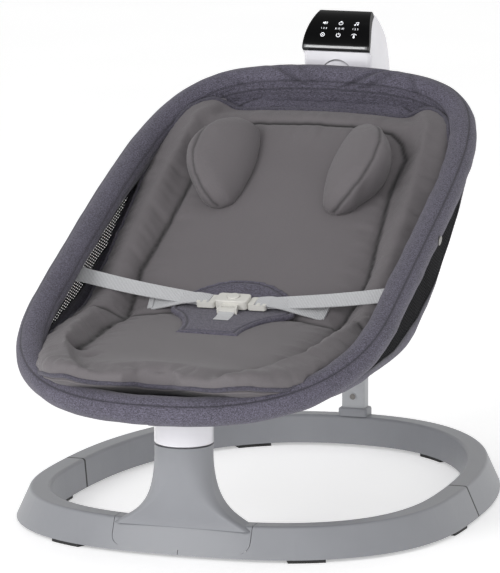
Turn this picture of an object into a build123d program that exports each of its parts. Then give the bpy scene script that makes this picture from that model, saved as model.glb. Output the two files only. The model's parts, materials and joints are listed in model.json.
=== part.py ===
from build123d import *
import math
import os

# Electric baby swing. X is across, Y runs from the foot end to the rear post, Z is up.
# The origin is on the floor, at the middle of the whole outline. All sizes in millimetres.

os.makedirs("parts", exist_ok=True)

# Base ring: an egg outline, blunt at the front, drawn out to the rear post
RING_HALF_WIDTH = 242.6
RING_FRONT_DEPTH = 249.0
RING_REAR_DEPTH = 399.5
RING_FRONT_POWER = 2.7
RING_REAR_POWER = 2.27
RING_WIDEST_Y = -21.0
RING_TOP_Z = 41.5
RING_BOTTOM_Z = 4.0
RING_TOP_WIDTH = 26.0
RING_FLARE = 43.0
RING_DRAFT = 3.4
RING_WALL = 3.0
SEAM_Y = 9.5
SEAM_GAP = 0.8
RIB_THICKNESS = 2.5
SPLICE_LENGTH = 60.0

# Front pedestal and its pillar
PEDESTAL_HALF_WIDTH = 88.0
PEDESTAL_SKIRT_Z = 10.0
PEDESTAL_CORNER = 12.0
PILLAR_Y = -287.0
PILLAR_TOP_Z = 137.0
PILLAR_WALL = 4.0
HUB_RADIUS = 36.0
HUB_BOTTOM_Z = 138.6
HUB_TOP_Z = 172.0
SPIGOT_RADIUS = 12.0

# Swing axis: from the hub up to the drive housing behind the head
AXIS_FRONT_Z = 152.0
HOUSING_FACE_Y = 306.0
AXIS_REAR_Z = 503.0
SHAFT_RADIUS = 8.0
BUSH_WALL = 3.5
BALL_RADIUS = 24.0
RUNNING_GAP = 0.6

# Rear post and drive housing
POST_Y = 391.0
POST_WIDTH = 32.0
POST_DEPTH = 20.0
POST_WALL = 2.0
POST_TOP_Z = 205.0
COLLAR_HEIGHT = 11.0
COLLAR_MARGIN = 4.0
HOUSING_HALF_WIDTH = 46.0
HOUSING_FOOT_HALF_WIDTH = 39.0
HOUSING_RIDGE_HALF_WIDTH = 35.0
HOUSING_BOTTOM_Z = 112.0
HOUSING_TOP_Z = 591.0
HOUSING_FRONT_Y = 272.0
HOUSING_REAR_Y = 412.0
HOUSING_WALL = 3.0
PARTING_Y = 352.0
PANEL_LIP_Z = 541.0

# Seat rim: an egg outline in a sloping plane, its sides hanging a little below the ends
RIM_HALF_WIDTH = 218.8
RIM_FOOT_DEPTH = 243.6
RIM_HEAD_DEPTH = 509.2
RIM_FOOT_POWER = 2.3
RIM_HEAD_POWER = 5.27
RIM_CENTRE = Vector(0, -184.5, 306.4)
RIM_SLOPE = 25.08
RIM_LENGTH_SAG = -0.564e-4
RIM_SIDE_SAG = -5.486e-4
RIM_TUBE_RADIUS = 10.0
RIM_ROLL_RADIUS = 18.0
TUBE_WALL = 1.5
RIM_JOINT_Y = -13.0

# Sling and pad
CREASE_Y = -81.0
CREASE_Z = 222.0
PAN_SLOPE = 3.5
BACK_SLOPE = 34.0
CREASE_SOFTNESS = 20.0
SLING_THICKNESS = 3.0
SLING_CORNER = 14.0
SLING_OVERHANG = 7.0
PAD_GAP = 2.0
PAD_THICKNESS = 30.0
PAD_HALF_WIDTH = 203.0
PAD_FOOT_HALF_WIDTH = 92.0
PAD_HEAD_HALF_WIDTH = 150.0
PAD_EDGE_RISE = 26.0
PAD_ROLL_RISE = 16.0
PAD_CROWN = 7.0
PAD_CHANNEL = 0.70
PAD_FOOT_LIFT = 28.0
PAD_HEAD_Y = 258.0
PAD_FOOT_Y = -412.0
SPINE_RADIUS = 9.0

# Harness
WEBBING_WIDTH = 20.0
WEBBING_THICKNESS = 1.6
BUCKLE_CENTRE = Vector(0, -104, 275)
BUCKLE_TILT = 15.0
BUCKLE_HALF_WIDTH = 21.0
BUCKLE_HEIGHT = 24.0
BUCKLE_THICKNESS = 11.0
TONGUE_REACH = 24.0
STRAP_GAP = 3.5
STRAP_END = Vector(220, -78, 299)

AXIS_FRONT = Vector(0, PILLAR_Y, AXIS_FRONT_Z)
AXIS_REAR = Vector(0, HOUSING_FACE_Y, AXIS_REAR_Z)
AXIS_DIRECTION = (AXIS_REAR - AXIS_FRONT).normalized()
ACROSS = Vector(1, 0, 0)


def save(piece, name):
    """Label a finished piece and write its file."""
    piece.part.label = name
    export_step(piece.part, f"parts/{name}.step")


def axis_point(y):
    """Point of the swing axis above or below a given Y."""
    return AXIS_FRONT + AXIS_DIRECTION * ((y - AXIS_FRONT.Y) / AXIS_DIRECTION.Y)


def axis_plane(y):
    """Plane square to the swing axis, its own Z running up the axis."""
    return Plane(origin=axis_point(y), x_dir=ACROSS, z_dir=AXIS_DIRECTION)


def egg(half_width, front, rear, front_power, rear_power, angle):
    """Point and heading on the right half of an egg outline, from -90 at the front to 90 at the rear."""
    reach = max(math.cos(math.radians(angle)), 0.0)
    depth_share = math.sin(math.radians(angle))
    depth, power = (front, front_power) if depth_share < 0 else (rear, rear_power)
    u = 0.0 if abs(angle) == 90 else half_width * reach ** (2 / power)
    v = math.copysign(depth * abs(depth_share) ** (2 / power), depth_share)
    du = -math.copysign((abs(v) / depth) ** (power - 1) / depth, v)
    dv = (u / half_width) ** (power - 1) / half_width
    return (u, v), (du, dv)


def ring_point(angle):
    """Point and heading of the ring's inner top edge."""
    shape = (RING_HALF_WIDTH, RING_FRONT_DEPTH, RING_REAR_DEPTH, RING_FRONT_POWER, RING_REAR_POWER)
    (u, v), (du, dv) = egg(*shape, angle)
    return Vector(u, v + RING_WIDEST_Y, 0), Vector(du, dv, 0).normalized()


def rim_point(angle):
    """Point and heading of the seat rim's centre line."""
    shape = (RIM_HALF_WIDTH, RIM_FOOT_DEPTH, RIM_HEAD_DEPTH, RIM_FOOT_POWER, RIM_HEAD_POWER)
    (u, v), (du, dv) = egg(*shape, angle)
    rise = RIM_LENGTH_SAG * v * v + RIM_SIDE_SAG * u * u
    climb = 2 * (RIM_LENGTH_SAG * v * dv + RIM_SIDE_SAG * u * du)
    level, steep = math.cos(math.radians(RIM_SLOPE)), math.sin(math.radians(RIM_SLOPE))
    place = Vector(u, v * level - rise * steep, v * steep + rise * level)
    heading = Vector(du, dv * level - climb * steep, dv * steep + climb * level)
    return RIM_CENTRE + place, heading.normalized()


def rim_side(y):
    """Half width and height of the rim's centre line at a given Y."""
    low, high = -90.0, 90.0
    for step in range(40):
        middle = (low + high) / 2
        if rim_point(middle)[0].Y < y:
            low = middle
        else:
            high = middle
    point = rim_point((low + high) / 2)[0]
    return point.X, point.Z


def smooth_line(stations):
    """Pairs of tangent arcs through stations of point and heading, drawn in the open line."""
    for (start, heading), (end, last) in zip(stations, stations[1:]):
        chord = end - start
        pull = chord.dot(heading + last)
        turn = 2 * (1 - heading.dot(last))
        if turn < 1e-6:
            reach = chord.dot(chord) / (2 * pull)
        else:
            reach = (math.sqrt(pull * pull + turn * chord.dot(chord)) - pull) / turn
        joint = (start + end + (heading - last) * reach) * 0.5
        middle = ((end - last * reach) - (start + heading * reach)).normalized()
        TangentArc(start, joint, tangent=heading)
        TangentArc(joint, end, tangent=middle)


RING_STATIONS = [ring_point(angle) for angle in (-90, -65, -40, -15, 0, 20, 45, 68, 90)]
RIM_STATIONS = [rim_point(angle) for angle in (-90, -60, -30, 0, 15, 32, 50, 66, 90)]


def ring_section(wall):
    """Ring section in X outwards and Y up, drawn in by a wall on its sides and top."""
    lean = wall * 1.1
    foot = RING_BOTTOM_Z if wall == 0 else RING_BOTTOM_Z - 1
    Polyline(
        (-RING_DRAFT + wall, foot),
        (wall, RING_TOP_Z - wall),
        (RING_TOP_WIDTH - lean * 0.6, RING_TOP_Z - wall),
        (RING_FLARE - lean, foot),
        close=True,
    )


# The ring's section stands at the front, in the plane of symmetry, looking out towards -Y
RING_START = Plane(origin=RING_STATIONS[0][0], x_dir=(0, -1, 0), z_dir=(-1, 0, 0))

with BuildPart() as ring_solid:
    with BuildLine() as ring_path:
        smooth_line(RING_STATIONS)
    with BuildSketch(RING_START):
        with BuildLine():
            ring_section(0)
        make_face()
        top_corners = vertices().group_by(Axis.Y)[-1]
        fillet(top_corners, radius=4.5)
    sweep(path=ring_path.line)
    mirror(about=Plane.YZ)

with BuildPart() as ring_void:
    with BuildLine() as ring_void_path:
        smooth_line(RING_STATIONS)
    with BuildSketch(RING_START):
        with BuildLine():
            ring_section(RING_WALL)
        make_face()
    sweep(path=ring_void_path.line)
    mirror(about=Plane.YZ)


def pedestal_front(margin):
    """Front outline of the pedestal block, with round lower corners."""
    half = PEDESTAL_HALF_WIDTH + margin
    with BuildSketch(Plane.XZ.offset(-PILLAR_Y - 60)) as outline:
        with BuildLine():
            FilletPolyline(
                (-half, RING_TOP_Z + 30),
                (-half, PEDESTAL_SKIRT_Z),
                (half, PEDESTAL_SKIRT_Z),
                (half, RING_TOP_Z + 30),
                radius=PEDESTAL_CORNER,
            )
            Line((half, RING_TOP_Z + 30), (-half, RING_TOP_Z + 30))
        make_face()
    return outline.sketch


with BuildPart() as pedestal_region:
    extrude(pedestal_front(0), amount=120)

with BuildPart() as pedestal_opening:
    extrude(pedestal_front(SEAM_GAP), amount=120)

# Base pieces: channels open below, with cross ribs inside
RIB_ANGLES = (-52, -32, -14, 14, 32, 50, 66)
RIB_HEIGHT = RING_TOP_Z - RING_BOTTOM_Z - 6

with BuildPart() as rib_plates:
    for angle in RIB_ANGLES:
        place, heading = ring_point(angle)
        for side in (1, -1):
            spot = (side * place.X, place.Y, RING_TOP_Z - RIB_HEIGHT / 2)
            with Locations(Plane(origin=spot, x_dir=(side * heading.X, heading.Y, 0), z_dir=(0, 0, 1))):
                Box(RIB_THICKNESS, 4 * RING_TOP_WIDTH, RIB_HEIGHT)

with BuildPart() as ring_channel:
    add(ring_void.part)
    add(rib_plates.part, mode=Mode.SUBTRACT)

with BuildPart() as ring_shell:
    add(ring_solid.part)
    add(ring_channel.part, mode=Mode.SUBTRACT)

HALF_SPAN = 600.0


def ring_piece(x_span, y_span, opening):
    """A stretch of the ring's channel between limits in X and Y, with the pedestal's place cut out."""
    with BuildPart() as piece:
        add(ring_shell.part)
        middle = ((x_span[0] + x_span[1]) / 2, (y_span[0] + y_span[1]) / 2, 0)
        with Locations(middle):
            Box(x_span[1] - x_span[0], y_span[1] - y_span[0], 200, mode=Mode.INTERSECT)
        if opening:
            add(pedestal_opening.part, mode=Mode.SUBTRACT)
    return piece


SEAM_FRONT_SPAN = (-HALF_SPAN, SEAM_Y - SEAM_GAP / 2)
SEAM_REAR_SPAN = (SEAM_Y + SEAM_GAP / 2, HALF_SPAN)
base_left_arc = ring_piece((-HALF_SPAN, -SEAM_GAP / 2), SEAM_FRONT_SPAN, True)
base_right_arc = ring_piece((SEAM_GAP / 2, HALF_SPAN), SEAM_FRONT_SPAN, True)
save(base_left_arc, "base_left_arc")
save(base_right_arc, "base_right_arc")

with BuildPart() as rear_arc:
    add(ring_piece((-HALF_SPAN, HALF_SPAN), SEAM_REAR_SPAN, False).part)
    with Locations((0, POST_Y, RING_TOP_Z)):
        Box(POST_WIDTH + 0.4, POST_DEPTH + 0.4, 40, mode=Mode.SUBTRACT)
save(rear_arc, "base_rear_arc")

# Pedestal: the front stretch of the ring with a hollow pillar flaring up out of it
PILLAR_SECTIONS = (
    (RING_TOP_Z - 6, 174.0, 34.0, 8.0),
    (RING_TOP_Z + 5, 140.0, 36.0, 10.0),
    (60.0, 106.0, 44.0, 14.0),
    (78.0, 84.0, 54.0, 20.0),
    (102.0, 73.0, 64.0, 28.0),
    (PILLAR_TOP_Z, 71.0, 70.0, 34.0),
)
PILLAR_FOOT_Y = RING_WIDEST_Y - RING_FRONT_DEPTH - RING_TOP_WIDTH / 2


def pillar_sections(wall):
    """Outlines of the pillar from its foot to its top, drawn in by a wall."""
    outlines = []
    for height, width, depth, corner in PILLAR_SECTIONS:
        share = min((height - RING_TOP_Z + 6) / 60, 1)
        y = PILLAR_FOOT_Y + (PILLAR_Y - PILLAR_FOOT_Y) * share
        with BuildSketch(Plane(origin=(0, y, height))) as outline:
            RectangleRounded(width - 2 * wall, depth - 2 * wall, max(corner - wall, 2))
        outlines.append(outline.sketch)
    return outlines


with BuildPart() as pillar_core:
    loft(pillar_sections(PILLAR_WALL))

with BuildPart() as pedestal_block:
    add(ring_shell.part)
    add(pedestal_region.part, mode=Mode.INTERSECT)

with BuildPart() as base_front_pedestal:
    loft(pillar_sections(0))
    add(pillar_core.part, mode=Mode.SUBTRACT)
    add(pedestal_block.part)
    with Locations((0, PILLAR_Y, PILLAR_TOP_Z - PILLAR_WALL)):
        Cylinder(HUB_RADIUS - 3, PILLAR_WALL, align=(Align.CENTER, Align.CENTER, Align.MIN))
        Cylinder(SPIGOT_RADIUS, 3 * PILLAR_WALL, mode=Mode.SUBTRACT)
save(base_front_pedestal, "base_front_pedestal")

# Splices: plugs inside the channel that hold the rear arc to the side arcs
with BuildPart() as ring_splices:
    add(ring_channel.part)
    with Locations((0, SEAM_Y, RING_BOTTOM_Z + 14)):
        Box(2 * HALF_SPAN, SPLICE_LENGTH, 12, mode=Mode.INTERSECT)
save(ring_splices, "ring_splices")

# Rubber feet: six pads under both walls of the ring
FOOT_ANGLES = (-62, -5, 62)
FOOT_LENGTH = 46.0
with BuildPart() as foot_band:
    with BuildLine() as foot_path:
        smooth_line(RING_STATIONS)
    with BuildSketch(RING_START):
        with Locations(((RING_FLARE - RING_DRAFT) / 2, RING_BOTTOM_Z / 2)):
            Rectangle(RING_FLARE + RING_DRAFT - 2, RING_BOTTOM_Z)
    sweep(path=foot_path.line)
    mirror(about=Plane.YZ)

with BuildPart() as foot_spots:
    for angle in FOOT_ANGLES:
        place, heading = ring_point(angle)
        for side in (1, -1):
            spot = (side * place.X, place.Y, 0)
            with Locations(Plane(origin=spot, x_dir=(side * heading.X, heading.Y, 0), z_dir=(0, 0, 1))):
                Box(FOOT_LENGTH, 120, 20)

with BuildPart() as rubber_feet:
    add(foot_band.part)
    add(foot_spots.part, mode=Mode.INTERSECT)
save(rubber_feet, "rubber_feet")

# Rear post: an oblong tube in a collar on the ring, with a cross screw
with BuildPart() as rear_post:
    with BuildSketch(Plane(origin=(0, POST_Y, RING_TOP_Z - 20))):
        RectangleRounded(POST_WIDTH, POST_DEPTH, 3)
        offset(amount=-POST_WALL, mode=Mode.SUBTRACT)
    extrude(amount=POST_TOP_Z - RING_TOP_Z + 20)
    with Locations(Plane(origin=(0, POST_Y - POST_DEPTH / 2, 68), z_dir=(0, -1, 0))):
        Hole(2.6, POST_WALL + 1)
save(rear_post, "rear_post")

with BuildPart() as post_screw:
    with Locations(Plane(origin=(0, POST_Y - POST_DEPTH / 2, 68), z_dir=(0, -1, 0))):
        Cylinder(2.5, 7, align=(Align.CENTER, Align.CENTER, Align.MAX))
        Cone(2.6, 4.0, 1.4, align=(Align.CENTER, Align.CENTER, Align.MIN))
save(post_screw, "post_screw")

with BuildPart() as post_collar:
    with BuildSketch(Plane(origin=(0, POST_Y, RING_TOP_Z + 0.1))):
        RectangleRounded(POST_WIDTH + 2 * COLLAR_MARGIN, POST_DEPTH + 2 * COLLAR_MARGIN, 5)
    extrude(amount=COLLAR_HEIGHT)
    fillet(faces().sort_by(Axis.Z)[-1].edges(), radius=3)
    with Locations((0, POST_Y, RING_TOP_Z)):
        Box(POST_WIDTH + 0.3, POST_DEPTH + 0.3, 60, mode=Mode.SUBTRACT)
save(post_collar, "post_collar")

# Front hub: a round cap on the pillar, bored along the swing axis for the front bush
BUSH_RADIUS = SHAFT_RADIUS + RUNNING_GAP / 2 + BUSH_WALL
FRONT_BUSH_LENGTH = 30.0
with BuildPart() as front_hub:
    with Locations((0, PILLAR_Y, HUB_BOTTOM_Z)):
        Cylinder(HUB_RADIUS, HUB_TOP_Z - HUB_BOTTOM_Z, align=(Align.CENTER, Align.CENTER, Align.MIN))
    fillet(edges().group_by(Axis.Z)[-1], radius=9)
    fillet(edges().group_by(Axis.Z)[0], radius=2.5)
    with Locations((0, PILLAR_Y, HUB_BOTTOM_Z)):
        Cylinder(HUB_RADIUS - 8, HUB_BOTTOM_Z - PILLAR_TOP_Z, align=(Align.CENTER, Align.CENTER, Align.MAX))
        Cylinder(SPIGOT_RADIUS - 0.5, 24, align=(Align.CENTER, Align.CENTER, Align.MAX))
    with Locations(axis_plane(PILLAR_Y - 12)):
        Cylinder(BUSH_RADIUS, 200, align=(Align.CENTER, Align.CENTER, Align.MIN), mode=Mode.SUBTRACT)
save(front_hub, "front_hub")

with BuildPart() as front_bush:
    with BuildSketch(axis_plane(PILLAR_Y - 12)):
        Circle(BUSH_RADIUS - 0.05)
        Circle(SHAFT_RADIUS + RUNNING_GAP / 2, mode=Mode.SUBTRACT)
    extrude(amount=FRONT_BUSH_LENGTH)
save(front_bush, "front_bush")

# Drive housing: a tall moulding whose side view and front view cut each other
def housing_side(wall):
    """Side outline of the housing in Y and Z, drawn in by a wall."""
    with BuildSketch(Plane.YZ) as outline:
        with BuildLine():
            Polyline(
                (HOUSING_REAR_Y, HOUSING_BOTTOM_Z),
                (HOUSING_FRONT_Y, HOUSING_BOTTOM_Z),
                (HOUSING_FRONT_Y, 372),
                (HOUSING_FACE_Y, 446),
                (HOUSING_FACE_Y, PANEL_LIP_Z),
                (HOUSING_FACE_Y - 6, PANEL_LIP_Z + 5),
            )
            ThreePointArc((HOUSING_FACE_Y - 6, PANEL_LIP_Z + 5), (314, 572), (346, HOUSING_TOP_Z))
            ThreePointArc((346, HOUSING_TOP_Z), (379, 545), (394, 490))
            ThreePointArc((394, 490), (407, 420), (HOUSING_REAR_Y, 340))
            Line((HOUSING_REAR_Y, 340), (HOUSING_REAR_Y, HOUSING_BOTTOM_Z))
        make_face()
        if wall:
            offset(amount=-wall, mode=Mode.REPLACE)
    return outline.sketch


def housing_front(wall):
    """Front outline of the housing in X and Z, drawn in by a wall."""
    with BuildSketch(Plane.XZ) as outline:
        with BuildLine():
            Line((0, HOUSING_BOTTOM_Z), (HOUSING_FOOT_HALF_WIDTH, HOUSING_BOTTOM_Z))
            Line((HOUSING_FOOT_HALF_WIDTH, HOUSING_BOTTOM_Z), (HOUSING_HALF_WIDTH, 330))
            Line((HOUSING_HALF_WIDTH, 330), (HOUSING_HALF_WIDTH, PANEL_LIP_Z + 4))
            ThreePointArc(
                (HOUSING_HALF_WIDTH, PANEL_LIP_Z + 4),
                (43.5, 568),
                (HOUSING_RIDGE_HALF_WIDTH, HOUSING_TOP_Z + 1),
            )
            Line((HOUSING_RIDGE_HALF_WIDTH, HOUSING_TOP_Z + 1), (0, HOUSING_TOP_Z + 1))
            mirror(about=Plane.YZ)
        make_face()
        if wall:
            offset(amount=-wall, mode=Mode.REPLACE)
    return outline.sketch


with BuildPart() as housing_form:
    extrude(housing_side(0), amount=100, both=True)
    extrude(housing_front(0), amount=HALF_SPAN, both=True, mode=Mode.INTERSECT)
    upright = edges().filter_by(Axis.Z).group_by(SortBy.LENGTH)[-1]
    fillet(upright, radius=7)

with BuildPart() as housing_cavity:
    extrude(housing_side(HOUSING_WALL), amount=100, both=True)
    extrude(housing_front(HOUSING_WALL), amount=HALF_SPAN, both=True, mode=Mode.INTERSECT)

# Touch panel: a curved black plate that wraps the top of the housing, from its lip to its ridge
with BuildPart() as panel_band:
    with BuildSketch(Plane.YZ):
        with BuildLine():
            Line((HOUSING_FACE_Y - 10, PANEL_LIP_Z), (HOUSING_FACE_Y - 1.5, PANEL_LIP_Z))
            ThreePointArc((HOUSING_FACE_Y - 1.5, PANEL_LIP_Z), (317, 566), (346, 584))
            Line((346, 584), (352, 605))
            Line((352, 605), (HOUSING_FACE_Y - 10, 605))
            Line((HOUSING_FACE_Y - 10, 605), (HOUSING_FACE_Y - 10, PANEL_LIP_Z))
        make_face()
    extrude(amount=100, both=True)

with BuildPart() as touch_panel:
    add(housing_form.part)
    add(panel_band.part, mode=Mode.INTERSECT)
save(touch_panel, "touch_panel")

with BuildPart() as housing_shell:
    add(housing_form.part)
    add(housing_cavity.part, mode=Mode.SUBTRACT)
    add(panel_band.part, mode=Mode.SUBTRACT)
    with Locations((0, POST_Y, HOUSING_BOTTOM_Z)):
        Box(POST_WIDTH + 0.4, POST_DEPTH + 0.4, 20, mode=Mode.SUBTRACT)
    with Locations(axis_plane(HOUSING_FACE_Y)):
        Cylinder(BALL_RADIUS + RUNNING_GAP, 40, mode=Mode.SUBTRACT)

SOCKET_Z = 150.0
GRILLE_Z = 235.0
SCREW_RADIUS = 3.0
SCREW_SPOTS = [(x, z) for x in (-26, 26) for z in (132, 330)]
BOARD_Y = 372.0
BOARD_THICKNESS = 1.6
BOARD_SIZE = (62.0, 96.0)
BOARD_POSTS = [(x, z) for x in (-25, 25) for z in (285, 355)]
REAR_FACE = Plane(origin=(0, HOUSING_REAR_Y, 0), x_dir=(-1, 0, 0), z_dir=(0, 1, 0))
with BuildPart() as housing_front_shell:
    add(housing_shell.part)
    split(bisect_by=Plane.XZ.offset(-PARTING_Y), keep=Keep.TOP)
save(housing_front_shell, "housing_front_shell")

with BuildPart() as housing_rear_shell:
    add(housing_shell.part)
    split(bisect_by=Plane.XZ.offset(-PARTING_Y - 0.2), keep=Keep.BOTTOM)
    with Locations(Plane(origin=(0, HOUSING_REAR_Y, SOCKET_Z), z_dir=(0, 1, 0))):
        Cylinder(6.2, 20, mode=Mode.SUBTRACT)
    with BuildSketch(Plane(origin=(0, HOUSING_REAR_Y + 5, GRILLE_Z), x_dir=(1, 0, 0), z_dir=(0, -1, 0))):
        with GridLocations(10, 6, 1, 7):
            SlotOverall(36, 2.4)
    extrude(amount=20, mode=Mode.SUBTRACT)
    with Locations(REAR_FACE):
        with Locations(*SCREW_SPOTS):
            Cylinder(SCREW_RADIUS + 0.2, 20, mode=Mode.SUBTRACT)
    with BuildSketch(REAR_FACE.offset(-1)):
        with Locations(*BOARD_POSTS):
            Circle(3)
    extrude(amount=BOARD_Y + BOARD_THICKNESS / 2 - HOUSING_REAR_Y + 1)
save(housing_rear_shell, "housing_rear_shell")

# Pieces inside the housing: rear bearing, drive arm with its magnet, coil, speaker, board and socket
REAR_SHAFT_END_Y = 344.0
BEARING_Y = 326.0
ARM_LENGTH = 62.0
ARM_WIDTH = 16.0
ARM_PLANE = Plane(origin=axis_point(REAR_SHAFT_END_Y), x_dir=ACROSS, z_dir=AXIS_DIRECTION)

with BuildPart() as bearing_block:
    with BuildSketch(axis_plane(BEARING_Y)):
        Circle(BUSH_RADIUS + 4)
        Circle(SHAFT_RADIUS + RUNNING_GAP / 2, mode=Mode.SUBTRACT)
    extrude(amount=12)
    with BuildSketch(axis_plane(BEARING_Y + 3)):
        with Locations((BUSH_RADIUS + 13, 0), (-BUSH_RADIUS - 13, 0)):
            Rectangle(24, 12)
    extrude(amount=5)

with BuildPart() as rear_bearing:
    add(bearing_block.part)
    extrude(housing_front(HOUSING_WALL), amount=HALF_SPAN, both=True, mode=Mode.INTERSECT)
save(rear_bearing, "rear_bearing")

with BuildPart() as drive_arm:
    with BuildSketch(ARM_PLANE):
        Circle(14)
        with Locations((0, ARM_LENGTH / 2)):
            Rectangle(ARM_WIDTH, ARM_LENGTH)
        with Locations((0, ARM_LENGTH)):
            Circle(ARM_WIDTH / 2 + 2)
        Circle(SHAFT_RADIUS, mode=Mode.SUBTRACT)
    extrude(amount=5)
save(drive_arm, "drive_arm")

MAGNET_SPOT = axis_point(REAR_SHAFT_END_Y) + ARM_PLANE.y_dir * ARM_LENGTH
with BuildPart() as drive_magnet:
    with BuildSketch(Plane(origin=MAGNET_SPOT, x_dir=ACROSS, z_dir=-AXIS_DIRECTION)):
        Circle(9)
    extrude(amount=6)
save(drive_magnet, "drive_magnet")

COIL_GAP = 3.0
with BuildPart() as drive_coil:
    coil_spot = MAGNET_SPOT - AXIS_DIRECTION * (6 + COIL_GAP)
    with BuildSketch(Plane(origin=coil_spot, x_dir=ACROSS, z_dir=-AXIS_DIRECTION)):
        SlotOverall(56, 26)
        Rectangle(2 * HOUSING_HALF_WIDTH, 10)
        SlotOverall(36, 8, mode=Mode.SUBTRACT)
    extrude(amount=10)
    extrude(housing_front(HOUSING_WALL), amount=HALF_SPAN, both=True, mode=Mode.INTERSECT)
save(drive_coil, "drive_coil")

with BuildPart() as control_board:
    with Locations(Plane(origin=(0, BOARD_Y, 320), x_dir=(1, 0, 0), z_dir=(0, -1, 0))):
        Box(*BOARD_SIZE, BOARD_THICKNESS)
        with Locations((-14, 20, 2.2), (16, -8, 2.2)):
            Box(16, 16, 2.8)
        with GridLocations(13, 0, 3, 1):
            with Locations((0, -36, 5)):
                Cylinder(4, 9)
save(control_board, "control_board")

with BuildPart() as speaker:
    with BuildSketch(Plane.YZ) as cone_outline:
        with BuildLine():
            Polyline(
                (HOUSING_REAR_Y - HOUSING_WALL - 0.3, GRILLE_Z),
                (HOUSING_REAR_Y - HOUSING_WALL - 0.3, GRILLE_Z + 24),
                (HOUSING_REAR_Y - HOUSING_WALL - 3.3, GRILLE_Z + 24),
                (HOUSING_REAR_Y - HOUSING_WALL - 14, GRILLE_Z + 12),
                (HOUSING_REAR_Y - HOUSING_WALL - 21, GRILLE_Z + 12),
                (HOUSING_REAR_Y - HOUSING_WALL - 21, GRILLE_Z),
                close=True,
            )
        make_face()
    revolve(axis=Axis((0, 0, GRILLE_Z), (0, 1, 0)))
save(speaker, "speaker")

with BuildPart() as power_socket:
    with Locations(Plane(origin=(0, HOUSING_REAR_Y + 0.05, SOCKET_Z), z_dir=(0, 1, 0))):
        Cylinder(6, 5, align=(Align.CENTER, Align.CENTER, Align.MAX))
        Cylinder(8.5, 1.2, align=(Align.CENTER, Align.CENTER, Align.MIN))
        with Locations((0, 0, 1.2)):
            Cylinder(3, 5, align=(Align.CENTER, Align.CENTER, Align.MAX), mode=Mode.SUBTRACT)
        Cylinder(1, 5, align=(Align.CENTER, Align.CENTER, Align.MAX))
save(power_socket, "power_socket")

# Seat frame: upper and lower tubes, sleeves at the joints and a spine below, bent to follow the seat
def rim_run(outer, inner):
    """A round section carried along the rim's centre line, hollow if it has an inner radius."""
    with BuildPart() as run:
        with BuildLine() as path:
            smooth_line(RIM_STATIONS)
        with BuildSketch(Plane(origin=RIM_STATIONS[0][0], z_dir=RIM_STATIONS[0][1])):
            Circle(outer)
            if inner:
                Circle(inner, mode=Mode.SUBTRACT)
        sweep(path=path.line)
        mirror(about=Plane.YZ)
    return run.part


def spine_run(outer, inner):
    """A round section carried along the bent spine, hollow if it has an inner radius."""
    with BuildPart() as run:
        with BuildLine() as path:
            FilletPolyline(*[(0, y, z) for y, z in SPINE_POINTS], radius=SPINE_BEND)
        with BuildSketch(Plane(origin=path.line @ 0, z_dir=path.line % 0)):
            Circle(outer)
            if inner:
                Circle(inner, mode=Mode.SUBTRACT)
        sweep(path=path.line)
    return run.part


SPINE_POINTS = ((-404, 200), (-366, 185), (-240, 186), (-85, 198), (262, 430), (283, 466), (283, 509))
SPINE_BEND = 28.0
RIM_TUBE = rim_run(RIM_TUBE_RADIUS, RIM_TUBE_RADIUS - TUBE_WALL)
RIM_ROLL = rim_run(RIM_ROLL_RADIUS, RIM_TUBE_RADIUS + 0.2)
RIM_KEEP_OUT = rim_run(RIM_ROLL_RADIUS + 0.2, 0)
SPINE_TUBE = spine_run(SPINE_RADIUS, SPINE_RADIUS - TUBE_WALL)
SPINE_KEEP_OUT = spine_run(SPINE_RADIUS + 0.1, 0)

JOINT_PLANE = Plane(origin=(0, RIM_JOINT_Y, 0), z_dir=(0, 1, 0))
SLEEVE_LENGTH = 44.0
for name, side in (("rim_tube_upper", Keep.TOP), ("rim_tube_lower", Keep.BOTTOM)):
    with BuildPart() as half_tube:
        add(RIM_TUBE)
        split(bisect_by=JOINT_PLANE.offset(0.2 if side == Keep.TOP else -0.2), keep=side)
    save(half_tube, name)

with BuildPart() as tube_ends:
    for angle in (-90, 90):
        with Locations(Plane(origin=rim_point(angle)[0], z_dir=rim_point(angle)[1])):
            Cylinder(RIM_TUBE_RADIUS + 0.3, 60)

with BuildPart() as seat_spine:
    add(SPINE_TUBE)
    add(tube_ends.part, mode=Mode.SUBTRACT)
save(seat_spine, "seat_spine")

with BuildPart() as frame_sleeves:
    joint_x, joint_z = rim_side(RIM_JOINT_Y)
    before = Vector(rim_side(RIM_JOINT_Y - 10)[0], RIM_JOINT_Y - 10, rim_side(RIM_JOINT_Y - 10)[1])
    after = Vector(rim_side(RIM_JOINT_Y + 10)[0], RIM_JOINT_Y + 10, rim_side(RIM_JOINT_Y + 10)[1])
    along = (after - before).normalized()
    for side in (1, -1):
        spot = (side * joint_x, RIM_JOINT_Y, joint_z)
        with Locations(Plane(origin=spot, z_dir=(side * along.X, along.Y, along.Z))):
            Cylinder(RIM_TUBE_RADIUS - TUBE_WALL - 1.0, SLEEVE_LENGTH)
save(frame_sleeves, "frame_sleeves")

# Pivots: shafts on the swing axis, a clamp round the spine at the front, a ball cover at the rear
FRONT_CLAMP_Y = -246.0
with BuildPart() as front_clamp:
    with Locations(axis_plane(FRONT_CLAMP_Y)):
        Cylinder(13, 20)
    with BuildSketch(Plane.YZ):
        with BuildLine():
            Polyline(
                (FRONT_CLAMP_Y - 4, 172),
                (FRONT_CLAMP_Y - 4, 186),
                (FRONT_CLAMP_Y + 34, 188),
                (FRONT_CLAMP_Y + 26, 176),
                close=True,
            )
        make_face()
    extrude(amount=SPINE_RADIUS + 4, both=True)
    add(SPINE_KEEP_OUT, mode=Mode.SUBTRACT)
    with Locations(axis_plane(FRONT_CLAMP_Y)):
        Cylinder(SHAFT_RADIUS, 60, mode=Mode.SUBTRACT)

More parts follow.
